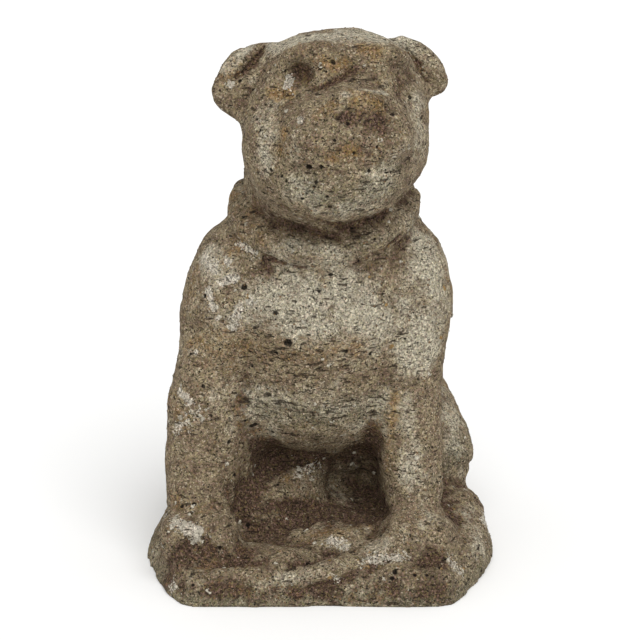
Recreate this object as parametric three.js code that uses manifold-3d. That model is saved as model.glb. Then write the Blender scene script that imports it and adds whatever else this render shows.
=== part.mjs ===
// A weathered cast-stone garden statue: a bulldog sitting on a low base, made as one solid block.
// Millimetres, +Z up. The dog faces -Y with its left side towards +X, and the origin is in the middle of the
// base's underside. The form is a distance field of blended masses, meshed on a grid by dual contouring.

import * as THREE from "three";
import { mergeVertices } from "three/addons/utils/BufferGeometryUtils.js";
import Module from "manifold-3d";

// Driving dimensions
const FIGURE_HEIGHT = 380;
const BASE_WIDTH = 272;
const BASE_DEPTH = 286;
const BASE_THICKNESS = 24;
const BASE_FRONT_WIDTH = 196;
const BASE_FRONT_SHIFT = -2;
const BASE_SHOULDER_WIDTH = 236;
const BASE_SHOULDER_DEPTH = 36;
const BASE_CORNER_DEPTH = 104;
const BASE_REAR_WIDTH = 230;
const BASE_REAR_DEPTH = 70;
const BASE_BACK_WIDTH = 160;
const BASE_SIDE_LEAN = 0.4;
const BASE_EDGE_RADIUS = 9;
const COLLAR_WIDTH = 34;
const COLLAR_THICKNESS = 6;
const COLLAR_ROLL_RADIUS = 7;

// Meshing: the grid is close at the head, the collar and the paws, and wider elsewhere
const CLOSE_STEP = 8.6;
const WIDE_STEP = 12.2;
const SIDE_STEP = 9.6;
const GRID_MARGIN = 14;
const SURFACE_STEPS = 3;
const RELAX_ROUNDS = 6;
const RELAX_SHARE = 0.5;
const SLOPE_REACH = 1.5;
const LEAST_SLOPE = 0.5;

// The figure's own unit is a hundredth of its height, and its z counts from the base's top
const UNIT = FIGURE_HEIGHT / 100;
const at = (x, y, z) => new THREE.Vector3(x, y, z).multiplyScalar(UNIT);

// Distance fields: each is a function of a point, negative inside the stone

const smoothUnion = (a, b, blend) => {
  const overlap = Math.max(blend - Math.abs(a - b), 0) / blend;
  return Math.min(a, b) - (overlap * overlap * blend) / 4;
};

const smoothCut = (solid, tool, blend) => -smoothUnion(-solid, tool, blend);

// Shapes of one group melt into each other over a blend given in figure units
const fuse = (blend, ...shapes) => (p) =>
  shapes.reduce((d, shape) => smoothUnion(d, shape(p), blend * UNIT), Infinity);

const carve = (solid, blend, ...tools) => (p) =>
  tools.reduce((d, tool) => smoothCut(d, tool(p), blend * UNIT), solid(p));

// A shape in a frame of its own, turned by degrees about x, then y, then z
const posed = (shape, position, turn = [0, 0, 0]) => {
  const angles = turn.map((degrees) => THREE.MathUtils.degToRad(degrees));
  const frame = new THREE.Matrix4()
    .makeRotationFromEuler(new THREE.Euler(...angles, "ZYX"))
    .setPosition(position)
    .invert();
  const local = new THREE.Vector3();
  return (p) => shape(local.copy(p).applyMatrix4(frame).clone());
};

const ellipsoid = (centre, radii, turn) =>
  posed(
    (p) => {
      const scaled = p.clone().divide(radii);
      const outward = scaled.clone().divide(radii).length();
      const reach = scaled.length();
      return outward > 0 ? (reach * (reach - 1)) / outward : -Math.min(radii.x, radii.y, radii.z);
    },
    centre,
    turn,
  );

// A limb is a rod with round ends whose radius changes evenly along it
const limb = (from, to, fromRadius, toRadius) => {
  const span = to.clone().sub(from);
  return (p) => {
    const share = THREE.MathUtils.clamp(p.clone().sub(from).dot(span) / span.lengthSq(), 0, 1);
    const axis = from.clone().addScaledVector(span, share);
    return p.distanceTo(axis) - THREE.MathUtils.lerp(fromRadius, toRadius, share) * UNIT;
  };
};

// A shape made for each side, at -1 and at 1
const bothSides = (make) => fuse(0.01, make(-1), make(1));

// The head, in its own frame: the face looks along -y
function face() {
  const skull = ellipsoid(at(1.3, 1.6, 3.6), at(17.6, 15.6, 15));
  const crown = ellipsoid(at(2, 2.4, 10.4), at(13.6, 11, 6.6));
  const cheeks = bothSides((side) => ellipsoid(at(side * 9.4, -2.6, -3.4), at(8.6, 10, 11)));
  const muzzle = ellipsoid(at(0, -12.8, -2.6), at(11.2, 8.4, 8));
  const flews = bothSides((side) => ellipsoid(at(side * 5.4, -14.8, -5), at(6.4, 5.8, 4.8)));
  const jaw = ellipsoid(at(-1.4, -5.6, -11), at(13.2, 13, 8.4));
  const chin = ellipsoid(at(0, -12.8, -10.4), at(8, 6, 4.6));
  const brows = bothSides((side) =>
    ellipsoid(at(1 + side * 8.6, -10.8, 10.8), at(5.8, 3.4, 2.4), [0, side * 16, 0]),
  );
  const mass = fuse(4, fuse(3, skull, crown, cheeks), fuse(2.4, muzzle, flews), jaw, brows);
  const eyes = bothSides((side) => ellipsoid(at(1.6 + side * 12.4, -12.8, 7), at(4.4, 4.4, 3)));
  const stop = limb(at(-2, -17, 7), at(2, -16.6, 10), 1.8, 1.6);
  const nose = ellipsoid(at(0, -19.6, 0.6), at(5.2, 3, 3.6));
  return fuse(1.8, carve(fuse(2, mass, chin), 3, eyes, stop), nose);
}

// A small folded ear: a flap with a hollow inside its rim, and a lobe that hangs down. One ear sits lower.
function ear(side, { reach, drop, hang, length }) {
  const flap = ellipsoid(at(side * reach, 2.4, 11.4 - drop), at(3.6, 4, length), [0, -side * 42, 0]);
  const lobe = ellipsoid(at(side * (reach + 0.9), 1.6, 8 - drop - hang), at(3.6, 3.8, 4.4));
  const hollow = ellipsoid(
    at(side * (reach - 1.8), -1.8, 11.2 - drop),
    at(1.7, 2.8, 5.4),
    [0, -side * 42, 0],
  );
  return carve(fuse(2, flap, lobe), 1.8, hollow);
}

const HEAD_PLACE = at(2.2, -11.6, 82.2);
const HEAD_TURN = [-20, 2, 12];

const RIGHT_EAR = { reach: 16.2, drop: 1.6, hang: 1, length: 8 };
const LEFT_EAR = { reach: 17.4, drop: 0, hang: -1, length: 7.4 };
const head = () =>
  posed(fuse(1.8, face(), ear(-1, RIGHT_EAR), ear(1, LEFT_EAR)), HEAD_PLACE, HEAD_TURN);

const COLLAR_CENTRE = at(0.8, -5.8, 62);
const COLLAR_RADII = [15.8, 16.8];
const COLLAR_TILT = [14, -2, 0];
const neck = () => limb(at(0.8, -2.4, 54), at(1.4, -7.6, 76), 16.6, 15.6);

// The collar is a band round the neck whose upper edge is rolled
function collar() {
  const [halfWidth, halfDepth] = COLLAR_RADII.map((share) => share * UNIT);
  const rollHeight = COLLAR_WIDTH / 2 - COLLAR_ROLL_RADIUS;
  const band = (p) => {
    const reach = Math.hypot(p.x / halfWidth, p.y / halfDepth);
    const outward = (reach - 1) * Math.min(halfWidth, halfDepth);
    const flat = Math.max(outward - COLLAR_THICKNESS, Math.abs(p.z) - COLLAR_WIDTH / 2);
    const roll = Math.hypot(outward - COLLAR_THICKNESS / 2, p.z - rollHeight) - COLLAR_ROLL_RADIUS;
    return smoothUnion(flat, roll, COLLAR_ROLL_RADIUS);
  };
  return posed(band, COLLAR_CENTRE, COLLAR_TILT);
}

function torso() {
  const chest = ellipsoid(at(0, -8.6, 46), at(20, 16.2, 17));
  const brisket = ellipsoid(at(0, -6.6, 32), at(19.4, 14.6, 17));
  const shoulders = [-1, 1].map((side) =>
    ellipsoid(at(side * 15.6, -6, 48), at(9.4, 11.4, 14), [0, side * 10, 0]),
  );
  const back = limb(at(0.5, 4, 52), at(0.5, 13.6, 20), 17, 20.5);
  // The stone is solid between each foreleg and the thigh behind it
  const flanks = [-1, 1].map((side) => ellipsoid(at(side * 17.6, -2, 14), at(6.4, 14, 18)));
  return fuse(6, chest, brisket, ...shoulders, back, ...flanks);
}

// A foreleg is a chain of joints with a radius at each, and ends in a paw with three toes
function foreleg(joints, paw) {
  const bones = joints
    .slice(1)
    .map(([place, radius], i) => limb(joints[i][0], place, joints[i][1], radius));
  const toes = [-1, 0, 1].map((slot) =>
    ellipsoid(at(paw.x + slot * paw.toe, paw.y - 4.4, 3), at(paw.toe * 0.62, 4.4, 3.8)),
  );
  const foot = ellipsoid(at(paw.x, paw.y, 3.2), at(paw.halfWidth, 7.4, 5));
  return fuse(2.6, fuse(2.4, ...bones, foot), fuse(1, ...toes));
}

const PAW_TOP = 14 * UNIT;

function forelegs() {
  const right = foreleg(
    [
      [at(-18.2, -9, 44), 8.4],
      [at(-22, -11.4, 26), 7.6],
      [at(-23.8, -15.4, 8), 7],
    ],
    { x: -23.4, y: -20.6, halfWidth: 7, toe: 4.6 },
  );
  const left = foreleg(
    [
      [at(17.2, -9, 44), 7.6],
      [at(17.8, -13, 26), 5.8],
      [at(18.4, -16.2, 8), 5.2],
    ],
    { x: 19.4, y: -21.4, halfWidth: 6.8, toe: 4.2 },
  );
  return [right, left];
}

// The dog leans on its left hip, so the right knee is raised and the left hind leg lies flat
function hindLegs() {
  const raisedKnee = at(-20.2, 5, 18.4);
  const raisedThigh = limb(at(-12, 21, 16), raisedKnee, 15.4, 10.8);
  const raisedShank = limb(raisedKnee, at(-20, 10, 5), 9.6, 8);
  const raisedAnkle = limb(at(-18, 4, 8), at(-10, -4, 5), 8, 6);
  const raisedFoot = limb(at(-12.2, -13, 3.8), at(-4, -5.8, 7.4), 4.8, 5);
  const lyingThigh = limb(at(13.2, 21, 12.4), at(20.8, 6, 10.2), 15, 11);
  const lyingFoot = ellipsoid(at(26, -4.8, 1.6), at(7, 11.4, 4), [0, 0, 8]);
  const thighs = [raisedThigh, raisedShank, raisedAnkle, lyingThigh];
  return { thighs, feet: [raisedFoot, lyingFoot] };
}

const tail = () => limb(at(1.6, 31, 8), at(7, 32, 4), 3.6, 2.6);

function figure() {
  const { thighs, feet } = hindLegs();
  const trunk = fuse(4, fuse(5, torso(), neck()), ...thighs);
  const limbs = fuse(4.6, trunk, ...forelegs(), tail());
  const collared = fuse(2, limbs, collar());
  return fuse(2.4, fuse(2.8, collared, head()), ...feet);
}

// The base: a low slab that is widest under the forepaws, and ground that rises unevenly under the dog
function base() {
  const halfWidth = BASE_WIDTH / 2;
  const halfDepth = BASE_DEPTH / 2;
  const half = (side) => [
    [(side * BASE_FRONT_WIDTH) / 2 + BASE_FRONT_SHIFT, -halfDepth],
    [(side * BASE_SHOULDER_WIDTH) / 2 + BASE_FRONT_SHIFT, BASE_SHOULDER_DEPTH - halfDepth],
    [side * halfWidth, BASE_CORNER_DEPTH - halfDepth],
    [(side * BASE_REAR_WIDTH) / 2, halfDepth - BASE_REAR_DEPTH],
    [(side * BASE_BACK_WIDTH) / 2, halfDepth],
  ];
  const corners = [...half(1), ...half(-1).reverse()].map(([x, y]) => new THREE.Vector2(x, y));
  // The outline is convex and runs anticlockwise, so its edges' outer sides bound it. The sides lean
  // inwards as they rise.
  const edges = corners.map((start, i) => {
    const along = corners[(i + 1) % corners.length].clone().sub(start).normalize();
    const outward = new THREE.Vector2(along.y, -along.x);
    return { outward, reach: outward.dot(start) };
  });
  const slab = (p) => {
    const outline = edges.reduce(
      (d, { outward, reach }) =>
        -smoothUnion(-d, reach - outward.x * p.x - outward.y * p.y, BASE_EDGE_RADIUS),
      -Infinity,
    );
    const across = outline + BASE_EDGE_RADIUS + Math.max(p.z, 0) * BASE_SIDE_LEAN;
    const above = p.z - BASE_THICKNESS + BASE_EDGE_RADIUS;
    return (
      Math.hypot(Math.max(across, 0), Math.max(above, 0)) +
      Math.min(Math.max(across, above), 0) -
      BASE_EDGE_RADIUS
    );
  };
  const ground = [
    ellipsoid(at(4.6, -17.6, -1), at(11.5, 8, 4.2), [0, 0, 20]),
    ellipsoid(at(-8, -27, -2), at(9, 6, 3.6), [0, 0, 12]),
    ellipsoid(at(14, -26, -2), at(12, 6.6, 3.8), [0, 0, 24]),
    ellipsoid(at(24, -14, -1.4), at(9, 12, 4.4)),
    ellipsoid(at(0, 5, -2), at(26, 26, 7)),
  ].map((mound) => posed(mound, new THREE.Vector3(0, 0, BASE_THICKNESS)));
  return fuse(3, slab, ...ground);
}

function statueField() {
  const dog = posed(figure(), new THREE.Vector3(0, 0, BASE_THICKNESS));
  return fuse(3, base(), dog);
}

// Planes of the meshing grid along one axis
function gridPlanes(low, high, stepAt) {
  const planes = [low];
  while (planes.at(-1) < high) planes.push(planes.at(-1) + stepAt(planes.at(-1)));
  return planes;
}

const CORNERS = [0, 1, 2, 3, 4, 5, 6, 7].map((n) => [n & 1, (n >> 1) & 1, n >> 2]);

// The three edges that leave the low corner of a cell, and the others, as [axis, corner offset]
const EDGES = [0, 1, 2].flatMap((axis) =>
  CORNERS.filter((corner) => corner[axis] === 0).map((corner) => [axis, corner]),
);
const edgeIndex = (axis, corner) =>
  EDGES.findIndex(([a, c]) => a === axis && c.every((v, i) => v === corner[i]));

// Each face of a cell as its four corners in order, and the edge that follows each corner
const FACES = [0, 1, 2].flatMap((axis) =>
  [0, 1].map((level) => {
    const [b, c] = [(axis + 1) % 3, (axis + 2) % 3];
    const ring = [[0, 0], [1, 0], [1, 1], [0, 1]].map(([u, v]) => {
      const corner = [0, 0, 0];
      corner[axis] = level;
      corner[b] = u;
      corner[c] = v;
      return corner;
    });
    const edges = ring.map((corner, i) => {
      const next = ring[(i + 1) % 4];
      const low = corner.map((value, k) => Math.min(value, next[k]));
      return edgeIndex(corner.findIndex((value, k) => value !== next[k]), low);
    });
    return { ring, edges };
  }),
);

// The surface where a field is zero. Every cell gets one vertex for each sheet of the surface that
// crosses it, so that the mesh is closed and no two sheets share a vertex.
class FieldGeometry extends THREE.BufferGeometry {
  constructor(field, planes) {
    super();
    this.field = field;
    this.planes = planes;
    this.counts = planes.map((list) => list.length);
    this.values = this.sample();
    this.points = [];
    this.cellEdges = new Map();
    this.placeVertices();
    const triangles = this.joinCells();
    this.relax(triangles);
    this.setAttribute("position", new THREE.Float32BufferAttribute(this.points.flat(), 3));
    this.setIndex(triangles);
  }

  place([i, j, k]) {
    return new THREE.Vector3(this.planes[0][i], this.planes[1][j], this.planes[2][k]);
  }

  offset([i, j, k]) {
    return (k * this.counts[1] + j) * this.counts[0] + i;
  }

  sample() {
    const values = new Float64Array(this.counts[0] * this.counts[1] * this.counts[2]);
    this.eachCell(0, (cell) => {
      values[this.offset(cell)] = this.field(this.place(cell));
    });
    return values;
  }

  // Calls a function for each grid point, leaving out the last rows
  eachCell(leftOut, visit) {
    for (let k = 0; k < this.counts[2] - leftOut; k++)
      for (let j = 0; j < this.counts[1] - leftOut; j++)
        for (let i = 0; i < this.counts[0] - leftOut; i++) visit([i, j, k]);
  }

  placeVertices() {
    this.eachCell(1, (cell) => {
      const inside = (corner) => this.values[this.offset(corner.map((v, n) => v + cell[n]))] < 0;
      const crossed = EDGES.map(([axis, corner]) => {
        const far = corner.map((v, n) => (n === axis ? 1 : v));
        return inside(corner) !== inside(far);
      });
      if (!crossed.includes(true)) return;
      const sheet = EDGES.map((_, n) => n);
      const join = (a, b) => {
        const [from, to] = [sheet[a], sheet[b]];
        sheet.forEach((value, n) => {
          if (value === from) sheet[n] = to;
        });
      };
      for (const { ring, edges } of FACES) {
        const hits = edges.filter((edge) => crossed[edge]);
        if (hits.length === 2) join(hits[0], hits[1]);
        if (hits.length === 4)
          ring.forEach((corner, n) => {
            if (inside(corner)) join(edges[n], edges[(n + 3) % 4]);
          });
      }
      const vertices = new Map();
      const owner = EDGES.map((_, n) => {
        if (!crossed[n]) return -1;
        if (!vertices.has(sheet[n])) {
          const members = EDGES.filter((_, m) => crossed[m] && sheet[m] === sheet[n]);
          vertices.set(sheet[n], this.addVertex(cell, members));
        }
        return vertices.get(sheet[n]);
      });
      this.cellEdges.set(this.offset(cell), owner);
    });
  }

  // The middle of a sheet's crossings, moved onto the surface without leaving its cell
  addVertex(cell, members) {
    const low = this.place(cell);
    const high = this.place(cell.map((v) => v + 1));
    const middle = new THREE.Vector3();
    for (const [axis, corner] of members) {
      const start = cell.map((v, n) => v + corner[n]);
      const end = start.map((v, n) => (n === axis ? v + 1 : v));
      const [a, b] = [this.values[this.offset(start)], this.values[this.offset(end)]];
      middle.add(this.place(start).lerp(this.place(end), a / (a - b)));
    }
    middle.divideScalar(members.length);
    for (let n = 0; n < SURFACE_STEPS; n++) this.settle(middle).clamp(low, high);
    this.points.push(middle.toArray());
    return this.points.length - 1;
  }

  // One step of a point towards the surface
  settle(p) {
    const distance = this.field(p);
    const slope = this.slope(p);
    return p.addScaledVector(slope, -distance / Math.max(slope.lengthSq(), LEAST_SLOPE));
  }

  // Evens out the mesh: each vertex moves towards the middle of its neighbours and back onto the surface
  relax(triangles) {
    const neighbours = this.points.map(() => new Set());
    triangles.forEach((vertex, n) => {
      const next = triangles[n % 3 === 2 ? n - 2 : n + 1];
      neighbours[vertex].add(next);
      neighbours[next].add(vertex);
    });
    for (let round = 0; round < RELAX_ROUNDS; round++)
      this.points = this.points.map((point, n) => {
        const middle = new THREE.Vector3();
        for (const other of neighbours[n]) middle.add(new THREE.Vector3(...this.points[other]));
        middle.divideScalar(neighbours[n].size);
        return this.settle(new THREE.Vector3(...point).lerp(middle, RELAX_SHARE)).toArray();
      });
  }

  slope(p) {
    const along = (axis) =>
      (this.field(p.clone().addScaledVector(axis, SLOPE_REACH)) -
        this.field(p.clone().addScaledVector(axis, -SLOPE_REACH))) /
      (2 * SLOPE_REACH);
    const axes = [[1, 0, 0], [0, 1, 0], [0, 0, 1]].map((axis) => new THREE.Vector3(...axis));
    return new THREE.Vector3(...axes.map(along));
  }

  // One four-sided face round every grid edge that the surface crosses, split along the truer diagonal
  joinCells() {
    const triangles = [];
    const gap = (a, b) => {
      const middle = this.points[a].map((value, n) => (value + this.points[b][n]) / 2);
      return Math.abs(this.field(new THREE.Vector3(...middle)));
    };
    this.eachCell(1, (start) => {
      for (const axis of [0, 1, 2]) {
        const end = start.map((v, n) => (n === axis ? v + 1 : v));
        const startInside = this.values[this.offset(start)] < 0;
        if (startInside === this.values[this.offset(end)] < 0) continue;
        const [b, c] = [(axis + 1) % 3, (axis + 2) % 3];
        const ring = [[1, 1], [0, 1], [0, 0], [1, 0]].map(([u, v]) => {
          const cell = [...start];
          cell[b] -= u;
          cell[c] -= v;
          const corner = start.map((value, n) => value - cell[n]);
          return this.cellEdges.get(this.offset(cell))[edgeIndex(axis, corner)];
        });
        if (!startInside) ring.reverse();
        const [p, q, r, s] = ring;
        if (gap(p, r) < gap(q, s)) triangles.push(p, q, r, p, r, s);
        else triangles.push(p, q, s, q, r, s);
      }
    });
    return triangles;
  }
}

const wasm = await Module();
wasm.setup();

function toManifold(geometry) {
  const bare = new THREE.BufferGeometry();
  bare.setAttribute("position", geometry.getAttribute("position"));
  bare.setIndex(geometry.getIndex());
  const merged = mergeVertices(bare);
  return new wasm.Manifold(
    new wasm.Mesh({
      numProp: 3,
      vertProperties: merged.attributes.position.array,
      triVerts: new Uint32Array(merged.index.array),
    }),
  );
}

function fromManifold(solid) {
  const { vertProperties, triVerts } = solid.getMesh();
  const geometry = new THREE.BufferGeometry();
  geometry.setAttribute("position", new THREE.BufferAttribute(new Float32Array(vertProperties), 3));
  geometry.setIndex(new THREE.BufferAttribute(new Uint32Array(triVerts), 1));
  geometry.computeVertexNormals();
  return geometry;
}

// The stone, meshed a little below the ground and then cut off flat at z = 0
function statueGeometry() {
  const halfWidth = BASE_WIDTH / 2 + GRID_MARGIN;
  const halfDepth = BASE_DEPTH / 2 + GRID_MARGIN;
  const top = BASE_THICKNESS + FIGURE_HEIGHT + GRID_MARGIN;
  const pawTop = BASE_THICKNESS + PAW_TOP;
  const collarBottom = BASE_THICKNESS + COLLAR_CENTRE.z - COLLAR_WIDTH;
  const planes = [
    gridPlanes(-halfWidth, halfWidth, () => SIDE_STEP),
    gridPlanes(-halfDepth, halfDepth, (y) => (y < 0 ? CLOSE_STEP : WIDE_STEP)),
    gridPlanes(-GRID_MARGIN, top, (z) => (z > pawTop && z < collarBottom ? WIDE_STEP : CLOSE_STEP)),
  ];
  const stone = statueField();
  const closedBelow = (p) => Math.max(stone(p), -GRID_MARGIN / 2 - p.z);
  const block = toManifold(new FieldGeometry(closedBelow, planes));
  const cutter = new THREE.BoxGeometry(2 * BASE_WIDTH, 2 * BASE_DEPTH, GRID_MARGIN);
  cutter.translate(0, 0, -GRID_MARGIN / 2);
  return fromManifold(block.subtract(toManifold(cutter)));
}

const castStone = new THREE.MeshStandardMaterial({
  color: 0x8a8172,
  roughness: 0.95,
  metalness: 0,
});

const statue = new THREE.Group();
const bulldog = new THREE.Mesh(statueGeometry(), castStone);
bulldog.name = "bulldog_statue";
statue.add(bulldog);

export default statue;
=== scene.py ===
"""The looks of a weathered cast-stone bulldog garden statue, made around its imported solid.

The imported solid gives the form. Its surface is copied, made fine and smooth, carved with brush strokes that
are placed by the reference picture's viewpoint, eroded, pitted and dressed as old cast stone with lichen.
"""

import logging
import math
from collections.abc import Callable
from dataclasses import dataclass, replace
from enum import Enum

import bmesh
import bpy
import numpy as np
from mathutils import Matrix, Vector
from mathutils.bvhtree import BVHTree


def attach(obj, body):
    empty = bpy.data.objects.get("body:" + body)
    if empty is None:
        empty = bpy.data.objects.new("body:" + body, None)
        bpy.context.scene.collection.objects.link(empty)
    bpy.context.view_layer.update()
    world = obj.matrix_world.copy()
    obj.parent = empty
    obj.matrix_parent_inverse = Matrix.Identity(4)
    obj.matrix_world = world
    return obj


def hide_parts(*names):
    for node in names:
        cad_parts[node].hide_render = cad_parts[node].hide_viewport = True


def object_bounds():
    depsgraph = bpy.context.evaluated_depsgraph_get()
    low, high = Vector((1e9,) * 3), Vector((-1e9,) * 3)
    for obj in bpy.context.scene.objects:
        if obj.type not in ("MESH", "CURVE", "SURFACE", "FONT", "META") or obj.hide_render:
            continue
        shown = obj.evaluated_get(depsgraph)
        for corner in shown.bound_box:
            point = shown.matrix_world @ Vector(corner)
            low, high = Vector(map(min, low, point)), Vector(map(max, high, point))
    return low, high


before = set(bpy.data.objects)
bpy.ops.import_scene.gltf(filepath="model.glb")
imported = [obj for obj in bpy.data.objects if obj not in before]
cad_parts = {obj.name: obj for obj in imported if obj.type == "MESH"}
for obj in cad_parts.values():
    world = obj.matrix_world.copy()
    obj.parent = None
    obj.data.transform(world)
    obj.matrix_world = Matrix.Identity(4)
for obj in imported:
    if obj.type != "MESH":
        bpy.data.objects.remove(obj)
CAD_BOX = [list(corner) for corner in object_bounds()]

log = logging.getLogger("bulldog")

MM = 0.001
NODE = "bulldog_statue"
BODY = "root"
SEED = 20
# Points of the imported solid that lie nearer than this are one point
JOIN_MM = 0.01

Pixel = tuple[float, float]
Modify = Callable[[bpy.types.Object], None]


def add_object(name: str, data: bpy.types.ID) -> bpy.types.Object:
    """Puts a new object into the scene.

    Args:
        name: The object's name.
        data: Its mesh, light or camera.

    Returns:
        The object.
    """
    thing = bpy.data.objects.new(name, data)
    bpy.context.scene.collection.objects.link(thing)
    return thing


def make_piece(name: str, mesh: bpy.types.Mesh) -> bpy.types.Object:
    """Makes a mesh one smooth piece of the statue, on its body.

    Args:
        name: The piece's name.
        mesh: Its surface, with its material.

    Returns:
        The piece.
    """
    mesh.name = name
    mesh.polygons.foreach_set("use_smooth", np.ones(len(mesh.polygons), dtype=bool))
    piece = add_object(name, mesh)
    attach(piece, BODY)
    return piece


def baked(mesh: bpy.types.Mesh, modify: Modify) -> bpy.types.Mesh:
    """Runs one modifier on a mesh, which is used up.

    Args:
        mesh: The mesh.
        modify: Function that puts the modifier on an object.

    Returns:
        The modifier's result.
    """
    carrier = add_object("carrier", mesh)
    modify(carrier)
    graph = bpy.context.evaluated_depsgraph_get()
    result = bpy.data.meshes.new_from_object(carrier.evaluated_get(graph))
    bpy.data.objects.remove(carrier)
    bpy.data.meshes.remove(mesh)
    return result


@dataclass(frozen=True)
class Viewpoint:
    """The place that the reference picture was taken from, and its frame.

    Lengths are in metres. The frame's width is measured across the middle of the statue. A turn moves the
    place around the statue, towards its left flank.
    """

    elevation_deg: float = 17.0
    turn_deg: float = 0.0
    distance: float = 1.8
    aim: tuple[float, float, float] = (0.0, 0.0, 0.175)
    frame_width: float = 0.4877
    picture_px: int = 640
    sensor_mm: float = 36.0

    def forward(self) -> Vector:
        """Returns the direction in which the camera looks."""
        tilt = math.radians(self.elevation_deg)
        up = Vector((0.0, 0.0, 1.0))
        return up.cross(self.right()) * math.cos(tilt) - up * math.sin(tilt)

    def right(self) -> Vector:
        """Returns the direction that points to the right in the picture."""
        turn = math.radians(self.turn_deg)
        return Vector((math.cos(turn), math.sin(turn), 0.0))

    def location(self) -> Vector:
        """Returns the camera's place."""
        return Vector(self.aim) - self.forward() * self.distance

    def ray(self, pixel: Pixel) -> Vector:
        """Gives the direction from the camera through one pixel of the picture.

        Args:
            pixel: Place in the picture, counted from its top left corner.

        Returns:
            The direction as a unit vector.
        """
        right = self.right()
        up = right.cross(self.forward())
        middle = self.picture_px / 2
        across = (pixel[0] - middle) / self.picture_px * self.frame_width
        rise = (middle - pixel[1]) / self.picture_px * self.frame_width
        return (self.forward() * self.distance + right * across + up * rise).normalized()

    def add_camera(self) -> None:
        """Adds the scene's camera at this viewpoint."""
        data = bpy.data.cameras.new("camera")
        data.sensor_width = self.sensor_mm
        data.lens = self.sensor_mm * self.distance / self.frame_width
        camera = add_object("camera", data)
        camera.location = self.location()
        camera.rotation_euler = self.forward().to_track_quat("-Z", "Y").to_euler()
        bpy.context.scene.camera = camera


class Noise:
    """Smooth random fields over points in space, the same in every run."""

    # Large odd numbers that scatter neighbouring corners, and masks that keep 32 and 24 bits
    CORNER_STEPS = (374761393, 668265263, 2246822519)
    SEED_STEP = 3266489917
    SCRAMBLER = 1274126177
    WORD = 0xFFFFFFFF
    FRACTION = 0xFFFFFF
    # How far each octave's field is shifted from the last one, in metres
    OCTAVE_SHIFT = 0.37

    def __init__(self, seed: int) -> None:
        """Keeps the seed that every field of this object starts from."""
        self.seed = seed

    def _corner(self, cells: np.ndarray) -> np.ndarray:
        """Gives each corner of a lattice its own random number.

        Args:
            cells: Whole-number coordinates, one row for each corner.

        Returns:
            One number from 0 to 1 for each row.
        """
        x, y, z = (cells[:, n].astype(np.int64) * step for n, step in enumerate(self.CORNER_STEPS))
        mixed = (x + y + z + self.seed * self.SEED_STEP) & self.WORD
        mixed = ((mixed ^ (mixed >> 13)) * self.SCRAMBLER) & self.WORD
        return ((mixed ^ (mixed >> 16)) & self.FRACTION) / self.FRACTION

    def value(self, points: np.ndarray, cell: float) -> np.ndarray:
        """Gives a smooth field that changes over about one cell's length.

        Args:
            points: Places in metres, one row for each.
            cell: Length of a lattice cell in metres.

        Returns:
            One number from -1 to 1 for each row.
        """
        scaled = points / cell
        low = np.floor(scaled)
        share = scaled - low
        share = share * share * (3 - 2 * share)
        total = np.zeros(len(points))
        for corner in np.ndindex(2, 2, 2):
            weight = np.prod(np.where(corner, share, 1 - share), axis=1)
            total += weight * self._corner(low + np.array(corner))
        return total * 2 - 1

    def fractal(self, points: np.ndarray, cell: float, octaves: int) -> np.ndarray:
        """Sums fields of ever smaller cells, each with less weight.

        Args:
            points: Places in metres, one row for each.
            cell: Length of the largest cell in metres.
            octaves: How many fields are summed.

        Returns:
            One number from about -1 to 1 for each row.
        """
        total = np.zeros(len(points))
        for octave in range(octaves):
            shifted = points + octave * self.OCTAVE_SHIFT
            total += self.value(shifted, cell / 2**octave) * 0.5**octave
        return total / (2 - 0.5 ** (octaves - 1))


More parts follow.
